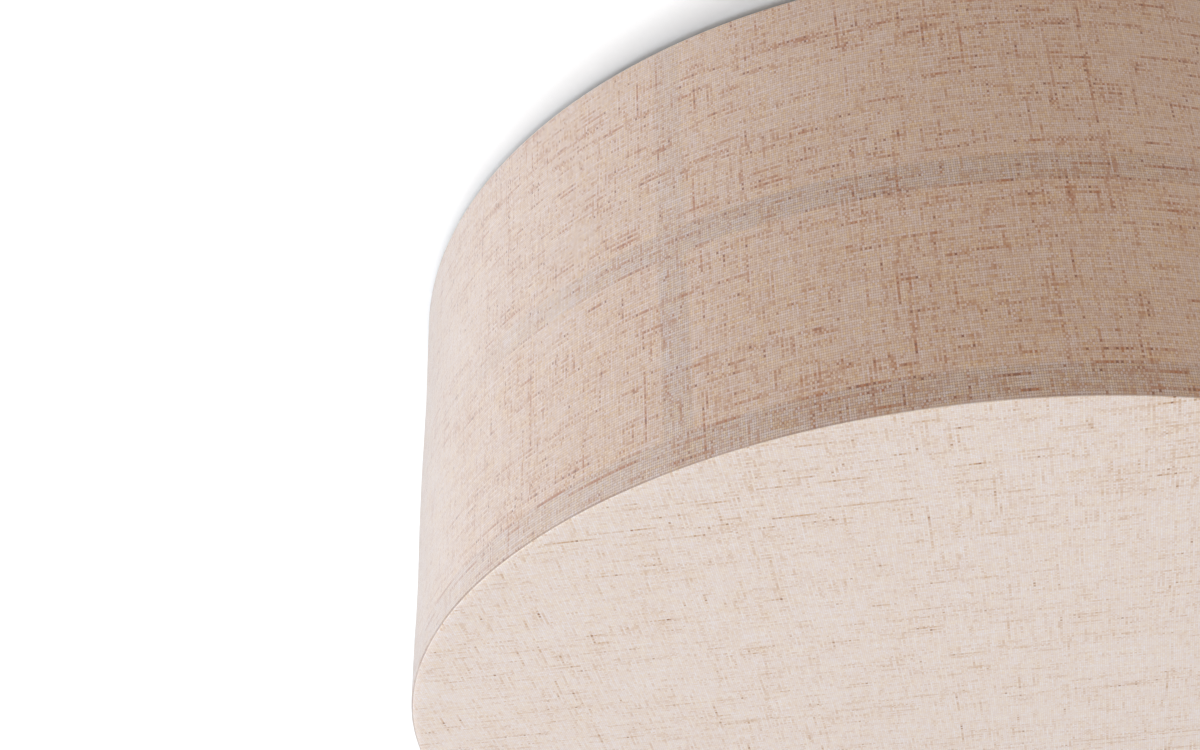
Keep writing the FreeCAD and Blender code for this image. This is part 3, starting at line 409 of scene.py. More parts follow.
def woven(finish, level, upright, cloth, gap_colour):
    """The colour and height of plain-woven cloth at a place along its level and upright threads."""
    warp, warp_index, warp_spun, warp_slub, warp_golden = thread_set(
        finish, level, upright, WARP_PITCH, cloth["warp_coarse"], WARP_SEED)
    weft, weft_index, weft_spun, weft_slub, weft_golden = thread_set(
        finish, upright, level, WEFT_PITCH, cloth["weft_coarse"], WEFT_SEED)
    crossing = finish.math("MULTIPLY", finish.math("ADD", warp_index, weft_index), 0.5)
    weft_over = finish.math("MULTIPLY", finish.math("FRACT", crossing), 2.0)
    warp_height = finish.math("MULTIPLY", warp, finish.ramp(weft_over, 0, 1, 1.0, UNDER_HEIGHT))
    weft_height = finish.math("MULTIPLY", weft, finish.ramp(weft_over, 0, 1, UNDER_HEIGHT, 1.0))
    height = finish.math("MAXIMUM", warp_height, weft_height)
    gap = finish.ramp(height, *GAP_HEIGHTS, cloth["gap_share"], 0.0)

    own = finish.random(warp_index, weft_index)
    patch_place = finish.vector(finish.math("MULTIPLY", level, 1 / PATCH[0]),
                                finish.math("MULTIPLY", upright, 1 / PATCH[1]), 0.0)
    patch = finish.noise(patch_place, detail=1.0)
    spun = added(finish, finish.choose(weft_over, warp_spun, weft_spun),
                 (finish.choose(weft_over, weft_spun, warp_spun), SPUN_SHARES[0]),
                 (own, SPUN_SHARES[1]), (patch, SPUN_SHARES[2]))
    on_top = finish.choose(weft_over, warp_slub, weft_slub)
    beneath = finish.choose(weft_over, weft_slub, warp_slub)
    slub = finish.math("MAXIMUM", on_top, finish.math("SUBTRACT", beneath, cloth["hidden"]))
    slub = added(finish, slub, (own, SLUB_SHARES[0]), (patch, SLUB_SHARES[1]))
    slub = finish.ramp(slub, cloth["slub_from"], cloth["slub_full"])
    knot = finish.math(
        "MULTIPLY", finish.ramp(own, cloth["knot_from"], cloth["knot_from"] + KNOT_RISE),
        finish.ramp(slub, *KNOT_SLUB))
    golden = finish.choose(weft_over, warp_golden, weft_golden)
    golden = finish.ramp(golden, GOLDEN_FROM, GOLDEN_FULL)

    colour = finish.mix(finish.ramp(spun, DEEP_FROM, DEEP_FULL), cloth["pale"], cloth["deep"])
    colour = finish.mix(golden, colour, cloth["golden"], "MULTIPLY")
    colour = finish.mix(gap, colour, gap_colour)
    colour = finish.mix(slub, colour, cloth["brown"])
    colour = finish.mix(finish.math("MULTIPLY", knot, KNOT_SHARE), colour, cloth["dark"])
    return colour, height


def linen(name, sheen, sheen_roughness):
    """A matt cloth finish with the pale fuzz of its fibres."""
    return Finish(name, Roughness=LINEN_ROUGHNESS, Specular_IOR_Level=LINEN_GLOSS,
                  Sheen_Weight=sheen, Sheen_Roughness=sheen_roughness, Sheen_Tint=SHEEN_TINT)


def painted_strap_shade(finish, front, round_drum, z):
    """Painted shade where the straps behind the sleeve show through it, and how strongly. front is
    the angle from the front, and round_drum the same angle as the threads count it."""
    step = math.radians(UPRIGHT_STEP)
    above_zero = finish.math("ADD", round_drum, 20 * step)
    from_upright = finish.math("PINGPONG", above_zero, step / 2)
    upright_band = finish.math("SUBTRACT", 1.0, finish.ramp(
        finish.math("MULTIPLY", from_upright, DRUM_RADIUS),
        STRAP_WIDTH / 2 - STRAP_SOFTNESS, STRAP_WIDTH / 2 + STRAP_SOFTNESS))
    middle_band = between(finish, z, middle_ring_low.z, middle_ring_high.z, STRAP_SOFTNESS)
    bottom_band = between(finish, z, DRUM_BOTTOM - STRAP_WIDTH, bottom_ring_high.z, STRAP_SOFTNESS)
    # the painted shade shows more strongly at some angles round the drum than at others
    shade_strength = finish.math("COSINE", finish.math(
        "MULTIPLY", finish.math("SUBTRACT", front, STRAP_SHADE_TURN), 3.0))
    upright_shows = finish.ramp(
        z, middle_ring_low.z, middle_ring_high.z + STRAP_WIDTH, *UPRIGHT_SHOWS)
    bands = (
        finish.math("MULTIPLY", upright_band, upright_shows),
        finish.math("MULTIPLY", middle_band, finish.ramp(shade_strength, *STRAP_SHADE_RANGE, *MIDDLE_SHOWS)),
        finish.math("MULTIPLY", bottom_band, finish.ramp(shade_strength, *STRAP_SHADE_RANGE, *BOTTOM_SHOWS)),
    )
    return finish.math("MAXIMUM", bands[0], finish.math("MAXIMUM", bands[1], bands[2]))


def wall_linen():
    """The sleeve's cloth: darker and warmer than the bottom's, with painted shade of the straps
    behind it as greyer bands. Its upright threads follow the folds at the rims."""
    finish = linen("linen_wall", sheen=1.0, sheen_roughness=0.6)
    seam_turn = SEAM_HALF / DRUM_RADIUS
    x, y, z = finish.turned_place(seam_turn)
    front = finish.math("ARCTAN2", x, finish.math("MULTIPLY", y, -1.0))
    round_drum = finish.math("SUBTRACT", front, seam_turn)
    level = finish.math("MULTIPLY", round_drum, DRUM_RADIUS)
    reach = finish.node("ShaderNodeVectorMath", {"operation": "LENGTH"},
                        {0: finish.vector(x, y, 0.0)}).outputs["Value"]
    upright = finish.math("ADD", z, finish.math("SUBTRACT", DRUM_RADIUS, reach))

    # painted shade of the straps behind the sleeve: greyer gaps between the threads and a darker
    # tint
    band = painted_strap_shade(finish, front, round_drum, z)
    gap = finish.mix(band, WALL_OPEN_GAP, WALL_STRAP_SHADED_GAP)
    colour, height = woven(finish, level, upright, WALL_CLOTH, gap)
    strap_shade_tint = finish.mix(band, [1.0, 1.0, 1.0, 1.0], STRAP_SHADE_TINT)
    colour = finish.mix(1.0, colour, strap_shade_tint, "MULTIPLY")
    # painted shade along the fold at the sleeve's bottom edge
    crease_shade = finish.ramp(z, DRUM_BOTTOM + CREASE_SHADE_HEIGHTS[0], DRUM_BOTTOM + CREASE_SHADE_HEIGHTS[1],
                         CREASE_SHADE_SHARE, 0.0)
    colour = finish.mix(crease_shade, colour, CREASE_SHADE_COLOUR)
    return finish.show(colour, normal=finish.bump(height, THREAD_RELIEF, strength=0.35))


def bottom_linen():
    """The covered bottom's cloth, paler for the opal sheet behind it."""
    finish = linen("linen_bottom", sheen=0.5, sheen_roughness=0.35)
    x, y, _ = finish.turned_place(-math.radians(GRAIN_TURN))
    colour, height = woven(finish, x, y, COVER_CLOTH, COVER_GAP)
    return finish.show(colour, normal=finish.bump(height, THREAD_RELIEF, strength=0.4))


# ---------------------------------------------------------------- drum cloth

COLUMNS = 720
EDGE_FOLD = 0.4 * MM        # radius of the sleeve's folded edges
PULL_IN = 0.35 * MM         # the taut cloth draws in this far between the rings
SLOW_WAVE = 0.06 * MM       # and isn't quite round there
SEAM_RAMP = 3 * MM
SEAM_EDGE = 0.06 * MM       # the cut edge rises over this length
WALL_ROWS = (4, 22, 6, 22, 6)   # between one ring's edge and the next, from the top down
HEM_THICK = CLOTH_THICK * 0.8
HEM_COLUMNS = 110
HEM_START = 0.1 * MM
HEM_CURL = 0.25 * MM
HEM_CORNER = (2 * MM, 1.6 * MM)     # length and height of a strip's rounded ends
SLOW_CUT = (23, 0.35 * MM)  # waves of the cut edge in a full turn, and their height
FINE_CUT = (61, 0.2 * MM)
SNIP_CLEARANCE = 0.4 * MM   # between an upright and the hem that is snipped for it
LIP_DROP = 0.35 * MM        # the bottom's cloth laps this far under the sleeve's folded edge
COVER_EDGE = DRUM_RADIUS - 0.55 * MM
COVER_RIM = 3 * MM
COVER_RINGS = 56
COVER_ROUND = 0.2 * MM
COVER_RIPPLE = 0.05 * MM
COVER_FOLD = 6 * MM         # the bottom's cloth is folded this far down inside its hoop
FOLD_ROUND = 0.4 * MM
LIP_GAP = 0.02 * MM
FIRST_RING = 0.5 * MM
NEAR_MIDDLE = 0.6 * MM


def wall_heights():
    """Heights of the rows of the sleeve's outside, closer together at the edges of the rings."""
    stations = [DRUM_TOP - EDGE_FOLD, top_ring_low.z, middle_ring_high.z, middle_ring_low.z,
                bottom_ring_high.z, DRUM_BOTTOM + EDGE_FOLD]
    rows = []
    for upper, lower, count in zip(stations[:-1], stations[1:], WALL_ROWS):
        share = 0.5 - 0.5 * np.cos(np.linspace(0, math.pi, count, endpoint=False))
        rows += list(upper + (lower - upper) * share)
    return np.array(rows + [stations[-1]])


def pulled_in(heights):
    """How far the cloth lies inside the drum's radius at each height."""
    depth = np.zeros_like(heights)
    for upper, lower in ((top_ring_low.z, middle_ring_high.z),
                         (middle_ring_low.z, bottom_ring_high.z)):
        share = np.clip((upper - heights) / (upper - lower), 0, 1)
        depth = np.maximum(depth, PULL_IN * np.sin(math.pi * share) ** 2)
    return depth


def seam_lift(angles):
    """The lapped seam: the outer layer rises gently on one side and ends in a cut edge on the
    other."""
    arc = (angles - math.radians(SEAM_AZIMUTH)) * DRUM_RADIUS
    rise = np.clip((arc + SEAM_HALF + SEAM_RAMP) / SEAM_RAMP, 0, 1)
    return SEAM_LIFT * rise * rise * (3 - 2 * rise) * (arc < SEAM_HALF)


def sleeve_angles():
    """Even steps round the drum, with a close pair at the seam's edge."""
    middle = math.radians(SEAM_AZIMUTH)
    arcs = np.array([-SEAM_HALF, SEAM_HALF - SEAM_EDGE, SEAM_HALF])
    return np.unique(np.concatenate([even_angles(COLUMNS), middle + arcs / DRUM_RADIUS]))


def sleeve_wall():
    """The outside of the sleeve with its two folded edges, as one closed sheet."""
    angles = sleeve_angles()
    outside = [(DRUM_RADIUS, z) for z in wall_heights()]
    edge_radius = DRUM_RADIUS - EDGE_FOLD
    top = corner(edge_radius, DRUM_TOP - EDGE_FOLD, EDGE_FOLD, 90, 12)
    bottom = corner(edge_radius, DRUM_BOTTOM + EDGE_FOLD, EDGE_FOLD, -12, -90)
    fold_inside = HEM_INSIDE + EDGE_FOLD
    inside = [
        (fold_inside, DRUM_BOTTOM),
        (fold_inside, DRUM_BOTTOM + HEM_THICK),
        (RING_OUTSIDE, DRUM_BOTTOM + CLOTH_THICK),
        (RING_OUTSIDE, DRUM_TOP - CLOTH_THICK),
        (fold_inside, DRUM_TOP - CLOTH_THICK),
        (fold_inside, DRUM_TOP),
    ]
    outline = np.array(top + outside + bottom + inside)
    radii = for_each(angles, outline[:, 0])
    heights = for_each(angles, outline[:, 1])
    outer_rows = slice(0, len(top) + len(outside) + len(bottom))
    outer_heights = outline[outer_rows, 1]
    radii[:, outer_rows] += seam_lift(angles)[:, None]
    radii[:, outer_rows] -= pulled_in(outer_heights)[None, :]
    slow = SLOW_WAVE * (np.sin(3 * angles + 1.1) + np.sin(7 * angles + 0.4))
    down = (outer_heights - DRUM_TOP) / (DRUM_BOTTOM - DRUM_TOP)
    radii[:, outer_rows] += slow[:, None] * np.sin(math.pi * down)[None, :]
    return turned("sleeve_wall", radii, heights, angles)


def hem_strips():
    """The turned-in edges, snipped where the uprights stand: one strip from upright to upright,
    with an uneven cut edge, rounded ends and a slight curl."""
    strips = []
    snip = (STRAP_WIDTH / 2 + SNIP_CLEARANCE) / HEM_INSIDE
    step = math.radians(UPRIGHT_STEP)
    shares = np.linspace(0, 1, 5)
    for number in range(UPRIGHT_COUNT):
        first = math.radians(UPRIGHT_AZIMUTH) + number * step + snip
        angles = np.linspace(first, first + step - 2 * snip, HEM_COLUMNS)
        end = np.minimum(angles - angles[0], angles[-1] - angles) * HEM_INSIDE
        rounded = HEM_CORNER[1] * np.clip(1 - end / HEM_CORNER[0], 0, 1) ** 2
        for edge, way in ((DRUM_TOP, -1), (DRUM_BOTTOM, 1)):
            wave = (SLOW_CUT[1] * np.sin(SLOW_CUT[0] * angles + number + way)
                    + FINE_CUT[1] * np.sin(FINE_CUT[0] * angles))
            raw_edge = edge + way * (HEM_DEPTH + wave - rounded)
            start = np.full_like(angles, edge + way * HEM_START)
            near = start[:, None] + (raw_edge - start)[:, None] * shares[None, :]
            inner = HEM_INSIDE - for_each(angles, HEM_CURL * shares ** 3)
            outer = inner + HEM_THICK
            radii = np.concatenate([inner, outer[:, ::-1]], axis=1)
            heights = np.concatenate([near, near[:, ::-1]], axis=1)
            if way > 0:
                radii, heights = radii[:, ::-1], heights[:, ::-1]
            strips.append(turned(f"hem_{number}_{way}", radii, heights, angles, whole=False))
    return strips


def shade_sleeve(material):
    """The drum's cloth: the outside with its folded edges and the snipped hems, in place of the
    frame's plain sleeve.
    """
    sleeve = joined("shade_sleeve", [sleeve_wall(), *hem_strips()])
    sleeve.data.materials.append(material)
    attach(sleeve, "shade")
    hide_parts("shade_cloth")


def bottom_cover(material):
    """The cloth of the covered bottom: flat below, lapped under the sleeve's edge, folded over its
    hoop."""
    face = DRUM_BOTTOM - LIP_DROP
    hoop_outside = hoop_high.x
    hoop_inside = hoop_outside - STRAP_THICK
    cloth_outside = cover_high.x
    fold_inside = hoop_inside - CLOTH_THICK
    cloth_top = cover_high.z
    rings = np.linspace(FIRST_RING, COVER_EDGE - COVER_RIM, COVER_RINGS)
    outline = [(radius, face) for radius in rings]
    outline += corner(COVER_EDGE - COVER_ROUND, face + COVER_ROUND, COVER_ROUND, -90, 0, 4)
    outline += [
        (COVER_EDGE, DRUM_BOTTOM - LIP_GAP),
        (cloth_outside, DRUM_BOTTOM - LIP_GAP),
        (cloth_outside, cloth_top - FOLD_ROUND),
        (cloth_outside - FOLD_ROUND, cloth_top),
        (fold_inside + FOLD_ROUND, cloth_top),
        (fold_inside, cloth_top - FOLD_ROUND),
        (fold_inside, hoop_high.z - COVER_FOLD),
        (hoop_inside, hoop_high.z - COVER_FOLD),
        (hoop_inside, hoop_high.z),
        (hoop_outside, hoop_high.z),
        (hoop_outside, hoop_low.z),
        (FIRST_RING, hoop_low.z),
    ]
    outline = np.array(outline)[::-1]
    angles = even_angles(COLUMNS // 2)
    radii = for_each(angles, outline[:, 0])
    heights = for_each(angles, outline[:, 1])
    on_face = outline[:, 1] < DRUM_BOTTOM - 0.8 * LIP_DROP
    share = outline[on_face, 0] / COVER_EDGE
    ripple = COVER_RIPPLE * np.sin(5 * angles + 0.7)[:, None] * (share * (1 - share) * 4)[None, :]
    heights[:, on_face] += np.abs(ripple)
    cover = turned("bottom_cover", radii, heights, angles)
    close_middle(cover.data)
    cover.data.materials.append(material)
    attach(cover, "shade")
    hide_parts("diffuser_cloth")


def close_middle(mesh):
    """Draws the innermost points of a turned disc together at its middle."""
    points = np.zeros(len(mesh.vertices) * 3)
    mesh.vertices.foreach_get("co", points)
    points = points.reshape(-1, 3)
    near = np.hypot(points[:, 0], points[:, 1]) < NEAR_MIDDLE
    points[near, :2] = 0
    mesh.vertices.foreach_set("co", points.ravel())
    bpy.context.view_layer.update()
    form = bmesh.new()
    form.from_mesh(mesh)
    bmesh.ops.remove_doubles(form, verts=form.verts, dist=0.002 * MM)
    form.to_mesh(mesh)
    form.free()
    mesh.update()


# ---------------------------------------------------------------- finishes of the hard pieces

DUST = srgb(168, 164, 156)


def coated(name, colour, roughness, peel=0.035 * MM, coat=0.0):
    """Sprayed and baked paint: fine orange peel, a few duller patches and slight changes of
    tone."""
    finish = Finish(name, Coat_Weight=coat, Coat_Roughness=0.25)
    place = finish.place()
    tone = finish.ramp(finish.noise(place, 45.0, 3.0, "3D"), 0.35, 0.7)
    dust = finish.ramp(finish.noise(place, 1400.0, 1.0, "3D"), 0.66, 0.74)
    paler = [min(1.0, value * 1.05) for value in colour]
    shown = finish.mix(tone, colour, paler)
    shown = finish.mix(finish.math("MULTIPLY", dust, 0.25), shown, DUST)
    dull = finish.ramp(finish.noise(place, 18.0, 4.0, "3D"), 0.4, 0.65,
                       roughness - 0.05, roughness + 0.08)
    skin = finish.noise(place, 620.0, 2.0, "3D")
    return finish.show(shown, dull, finish.bump(skin, peel, 0.7))


def metal(name, colour, stain, smooth, rough, grain=0.012 * MM):
    """Bare or plated metal: cloudy plating, fine drawn scratches and worn, duller spots."""
    finish = Finish(name, Metallic=1.0)
    place = finish.place()
    cloud = finish.ramp(finish.noise(place, 160.0, 4.0, "3D"), 0.35, 0.72)
    stretched = finish.node("ShaderNodeMapping",
                            values={"Vector": place, "Scale": (2600.0, 300.0, 2600.0)})
    drawn = finish.noise(stretched.outputs[0], 1.0, 2.0, "3D")
    shown = finish.mix(cloud, colour, stain)
    spread = finish.math("ADD", finish.math("MULTIPLY", cloud, 0.6),
                         finish.math("MULTIPLY", drawn, 0.4))
    return finish.show(shown, finish.ramp(spread, 0.2, 0.8, smooth, rough),
                       finish.bump(drawn, grain, 0.6))


def moulded(name, colour, roughness, grain_size, depth=0.02 * MM, softness=0.0, coat=0.0):
    """Moulded plastic, rubber or glazed ware: a fine grain, slight flow marks and uneven gloss."""
    finish = Finish(name, Subsurface_Weight=softness, Subsurface_Scale=2 * MM, Coat_Weight=coat,
                    Coat_Roughness=0.12)
    place = finish.place()
    flow = finish.node("ShaderNodeTexWave", {"wave_type": "BANDS", "bands_direction": "Z"},
                       {"Vector": place, "Scale": 35.0, "Distortion": 9.0, "Detail": 2.0})
    mottle = finish.math("MULTIPLY", finish.math(
        "ADD", flow.outputs["Fac"], finish.noise(place, 90.0, 3.0, "3D")), 0.5)
    darker = [value * 0.92 for value in colour[:3]] + [1.0]
    shown = finish.mix(finish.ramp(mottle, 0.3, 0.7), darker, colour)
    gloss = finish.ramp(finish.noise(place, 30.0, 3.0, "3D"), 0.35, 0.65,
                        roughness - 0.04, roughness + 0.06)
    grain = finish.noise(place, 1 / grain_size, 2.0, "3D")
    return finish.show(shown, gloss, finish.bump(grain, depth, 0.6))


def lead_sleeve(name, colour, stripe=None):
    """The plastic sleeve of a lead. The earth lead has a second colour along two sides."""
    finish = Finish(name, Coat_Weight=0.15, Coat_Roughness=0.3)
    place = finish.place()
    darker = [value * 0.8 for value in colour[:3]] + [1.0]
    shown = finish.mix(finish.ramp(finish.noise(place, 240.0, 3.0, "3D"), 0.3, 0.7),
                       colour, darker)
    if stripe:
        normal = finish.node("ShaderNodeTexCoord").outputs["Normal"]
        level = finish.math("ABSOLUTE", finish.parts(normal)[2])
        shown = finish.mix(finish.ramp(level, 0.62, 0.68), shown, stripe)
    ripple = finish.noise(place, 900.0, 2.0, "3D")
    return finish.show(shown, finish.ramp(ripple, 0.2, 0.8, 0.38, 0.5),
                       finish.bump(ripple, 0.02 * MM, 0.5))


def hard_finishes():
    """The finish for each of the record's material slots but the cloth's."""
    # name: colour, roughness, depth of the orange peel, clear coat
    paints = {
        "frame_white": (srgb(222, 221, 217), 0.46),
        "pan_white": (srgb(224, 223, 220), 0.38, 0.02 * MM, 0.2),
    }
    # name: colour, stain, least and greatest roughness, depth of the grain
    metals = {
        "steel": (srgb(186, 189, 194), srgb(160, 158, 150), 0.32, 0.52),
        "brass": (srgb(214, 180, 108), srgb(166, 126, 66), 0.20, 0.42),
        "solder": (srgb(186, 188, 190), srgb(138, 138, 136), 0.34, 0.60, 0.06 * MM),
        "bulb_base": (srgb(206, 206, 204), srgb(176, 174, 168), 0.18, 0.34),
    }
    # name: colour, roughness, size and depth of the grain, softness, glaze
    mouldings = {
        "opal_sheet": (srgb(233, 232, 227), 0.36, 0.5 * MM, 0.01 * MM, 0.3),
        "rubber_black": (srgb(40, 39, 38), 0.72, 0.4 * MM, 0.05 * MM),
        "block_plastic": (srgb(226, 223, 212), 0.50, 0.3 * MM, 0.02 * MM, 0.2),
        "holder_plastic": (srgb(224, 221, 213), 0.42, 0.35 * MM, 0.025 * MM, 0.1),
        "insert_ceramic": (srgb(232, 228, 216), 0.30, 0.8 * MM, 0.03 * MM, 0.1, 0.5),
        "insulator_black": (srgb(28, 22, 30), 0.16, 0.9 * MM, 0.04 * MM, 0.0, 0.6),
        "bulb_plastic": (srgb(230, 230, 228), 0.34, 0.4 * MM, 0.015 * MM, 0.15),
        "bulb_globe": (srgb(234, 233, 228), 0.40, 0.25 * MM, 0.012 * MM, 0.5),
    }
    # name: colour, colour of a stripe
    leads = {
        "lead_brown": (srgb(98, 58, 36),),
        "lead_blue": (srgb(40, 92, 168),),
        "lead_green": (srgb(42, 122, 62), srgb(222, 198, 52)),
    }
    made = {}
    for make, table in ((coated, paints), (metal, metals), (moulded, mouldings),
                        (lead_sleeve, leads)):
        for name, values in table.items():
            made[name] = make(name, *values)
    return made


def dress(finishes):
    """Gives each of the frame's own pieces the finish of its slot."""
    for part in frame["record"]["subparts"]:
        finish = finishes.get(part["material_slot"])
        if finish is None:
            continue
        materials = frame["nodes"][part["node"]].data.materials
        if not materials:
            materials.append(finish)
        for index in range(len(materials)):
            materials[index] = finish


# ---------------------------------------------------------------- lamps, holders and welds

FIXED_BODY = "root"
LAMP_COUNT = 3
LAMP_STEP = 360 / LAMP_COUNT
LAMP_AZIMUTH = 90
COUPLINGS = {item["joint"]: item for item in frame["record"]["behaviour"]["couplings"]}
PITCH = 2 * math.pi * COUPLINGS["bulb_1_travel"]["ratio"]
THREAD_COLUMNS = 96
THREAD_RUN_OUT = 1.5 * MM
BASE_THREAD_DEPTH = 0.85 * MM
BASE_THREAD_ROWS = 84
BASE_WALL = 0.5 * MM
BASE_NOSE = 1.4 * MM        # radius of the base's narrow end
BASE_NECK = 3.6 * MM        # the base is plain this far from the lamp's collar
SHELL_THREAD_DEPTH = 1.15 * MM
SHELL_THREAD_ROWS = 72
SHELL_WALL = 0.35 * MM
RIB_COUNT = 40
RIB_COLUMNS = 8
RIB_HEIGHT = 0.8 * MM
RIB_RAMP = 0.8 * MM
RIB_STEEPNESS = 1.6         # above 1, a rib's top is flat
RIBS_BEHIND = 4 * MM        # plain length behind the ribs
RIBS_BEFORE = 1.5 * MM      # and between them and the bead
SKIRT_WALL = 2.0 * MM
SKIRT_EDGE = 0.3 * MM
BORE_EDGE = 0.4 * MM
BEAD_HEIGHT = 1.0 * MM
BEAD_LENGTH = 4.5 * MM
BEAD_ROUND = 0.6 * MM
MOUTH_ROUND = 0.9 * MM
WELD_RADIUS = 1.7 * MM
WELD_RISE = 0.22 * MM
WELD_SPREAD = 2.4 * MM      # two welds lie this far each side of an upright's middle
ARM_WELDS = (10 * MM, 4 * MM)   # and two on an arm, this far in from the fitter ring's outside


def lamp_place(number):
    """Sets a piece that is turned about the local Z axis on a lamp's level axis, from the drum's
    axis out."""
    base_low, base_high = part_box("bulb_1_base")
    drop = Matrix.Translation((0, 0, (base_low.z + base_high.z) / 2))
    turn = Matrix.Rotation(math.radians(LAMP_AZIMUTH + LAMP_STEP * (number - 1)), 4, "Z")
    return drop @ turn @ Matrix.Rotation(math.radians(90), 4, "Y")


def thread_wave(along, angles, start, end):
    """A rolled thread's height from 0 to 1 at each angle and each distance along, and how far it
    has come up between its two ends."""
    phase = 2 * math.pi * along[None, :] / PITCH - angles[:, None]
    wave = 0.5 + 0.5 * np.sin(phase)
    wave = wave * wave * (3 - 2 * wave)
    full = (np.clip((along - start) / THREAD_RUN_OUT, 0, 1)
            * np.clip((end - along) / THREAD_RUN_OUT, 0, 1))
    return wave, full[None, :]


def bulb_base(number, material):
    """A lamp's base of thin rolled sheet: a thread between a narrow end and a plain neck."""
    low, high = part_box("bulb_1_base")
    insulator_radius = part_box("bulb_1_insulator")[1].x
    crest = high.x
    root = crest - BASE_THREAD_DEPTH
    along = np.linspace(low.y + BASE_NOSE + 1.0 * MM, high.y - 0.3 * MM, BASE_THREAD_ROWS)
    angles = even_angles(THREAD_COLUMNS)
    wave, full = thread_wave(along, angles, along[0], high.y - BASE_NECK)
    outer = crest - BASE_THREAD_DEPTH * (1 - wave * full)
    nose = corner(insulator_radius - 0.2 * MM, low.y + BASE_NOSE, BASE_NOSE, -90, -12)
    nose_radii = np.minimum(for_each(angles, [radius for radius, _ in nose]), root)
    nose_along = for_each(angles, [height for _, height in nose])
    lip_radii = for_each(angles, [root + 0.3 * MM, root])
    lip_along = for_each(angles, [high.y - 0.1 * MM, high.y])
    outer_radii = np.concatenate([nose_radii, outer, lip_radii], axis=1)
    outer_along = np.concatenate([nose_along, for_each(angles, along), lip_along], axis=1)
    inner_radii = outer_radii[:, ::-1] - BASE_WALL
    inner_along = np.clip(outer_along[:, ::-1], low.y + BASE_WALL, high.y)
    radii = np.concatenate([outer_radii, inner_radii], axis=1)[:, ::-1]
    heights = np.concatenate([outer_along, inner_along], axis=1)[:, ::-1]
    piece = turned(f"bulb_{number}_threaded_base", radii, heights, angles,
                   place=lamp_place(number))
    piece.data.materials.append(material)
    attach(piece, f"bulb_{number}")
    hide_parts(f"bulb_{number}_base")


def screw_shell(number, material):
    """A holder's shell of thin rolled sheet, whose thread stands between the turns of the lamp's
    base."""
    low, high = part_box("screw_shell_1")
    along = np.linspace(low.y, high.y, SHELL_THREAD_ROWS)
    angles = even_angles(THREAD_COLUMNS)
    wave, full = thread_wave(along, angles, low.y, high.y - 1.0 * MM)
    outer = high.x - SHELL_THREAD_DEPTH * (1 - wave) * full
    rows = for_each(angles, along)
    radii = np.concatenate([outer, outer[:, ::-1] - SHELL_WALL], axis=1)[:, ::-1]
    heights = np.concatenate([rows, rows[:, ::-1]], axis=1)[:, ::-1]
    piece = turned(f"threaded_shell_{number}", radii, heights, angles, place=lamp_place(number))
    piece.data.materials.append(material)
    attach(piece, FIXED_BODY)
    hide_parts(f"screw_shell_{number}")


def holder_skirt(number, material):
    """A holder's skirt: grip ribs along it, a plain band behind them and a bead round its
    mouth."""
    low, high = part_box("holder_skirt_1")
    back, mouth = low.y, high.y
    bead = high.x
    plain = bead - BEAD_HEIGHT
    bore = plain - SKIRT_WALL
    bead_back = mouth - BEAD_LENGTH
    ribs_from, ribs_to = back + RIBS_BEHIND, bead_back - RIBS_BEFORE
    angles = even_angles(RIB_COUNT * RIB_COLUMNS)
    rib = np.clip(RIB_STEEPNESS * np.cos(angles * RIB_COUNT), 0, 1)
    outline = [(plain - SKIRT_EDGE, back), (plain, back + SKIRT_EDGE), (plain, ribs_from)]
    first_rib = len(outline)
    outline += [(plain, ribs_from + RIB_RAMP), (plain, ribs_to - RIB_RAMP)]
    last_rib = len(outline)
    outline += [(plain, ribs_to), (plain, bead_back)]
    outline += corner(bead - BEAD_ROUND, bead_back + BEAD_ROUND, BEAD_ROUND, -90, 0, 4)
    outline += corner(bead - MOUTH_ROUND, mouth - MOUTH_ROUND, MOUTH_ROUND, 0, 90)
    outline += [(bore + BORE_EDGE, mouth), (bore, mouth - BORE_EDGE), (bore, back + 0.2 * MM),
                (bore, back)]
    outline = np.array(outline)
    radii = for_each(angles, outline[:, 0])
    radii[:, first_rib:last_rib] += RIB_HEIGHT * rib[:, None]
    heights = for_each(angles, outline[:, 1])
    piece = turned(f"ribbed_skirt_{number}", radii[:, ::-1], heights[:, ::-1], angles,
                   place=lamp_place(number))
    piece.data.materials.append(material)
    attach(piece, FIXED_BODY)
    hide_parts(f"holder_skirt_{number}")


def weld_mark(place):
    """The dished print that a spot weld leaves: a low rim round a shallow hollow, facing local
    +Z."""
    angles = even_angles(20)
    radii = [WELD_RADIUS * share for share in (0.02, 0.35, 0.6, 0.8, 1.0, 1.0, 0.02)]
    heights = [WELD_RISE * share for share in (0.35, 0.4, 0.75, 1.0, 0.15, -0.5, -0.5)]
    return turned("weld_mark", for_each(angles, radii), for_each(angles, heights), angles,
                  place=place)


def weld_marks(material):
    """Spot welds: where the middle ring crosses the uprights, where the top ring crosses those
    without an arm, and where the arms lie on the fitter ring."""
    marks = []
    arm_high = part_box("fitter_arms")[1]
    fitter_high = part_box("fitter_ring")[1]
    inward = Matrix.Rotation(math.radians(-90), 4, "Y")
    middle = (middle_ring_low.z + middle_ring_high.z) / 2
    for number in range(UPRIGHT_COUNT):
        turn = Matrix.Rotation(math.radians(UPRIGHT_AZIMUTH + number * UPRIGHT_STEP), 4, "Z")
        has_arm = number % 2 == 0
        spots = [(-WELD_SPREAD, middle), (WELD_SPREAD, middle)]
        if not has_arm:
            spots.append((0.0, top_ring_low.z))
        for aside, height in spots:
            face = math.sqrt(UPRIGHT_INSIDE ** 2 - aside ** 2)
            marks.append(weld_mark(turn @ Matrix.Translation((face, aside, height)) @ inward))
        if has_arm:
            for inset in ARM_WELDS:
                reach = fitter_high.y - inset
                marks.append(weld_mark(turn @ Matrix.Translation((reach, 0, arm_high.z))))
    welds = joined("weld_marks", marks)
    welds.data.materials.append(material)
    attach(welds, "shade")


# ---------------------------------------------------------------- stage, lights and camera

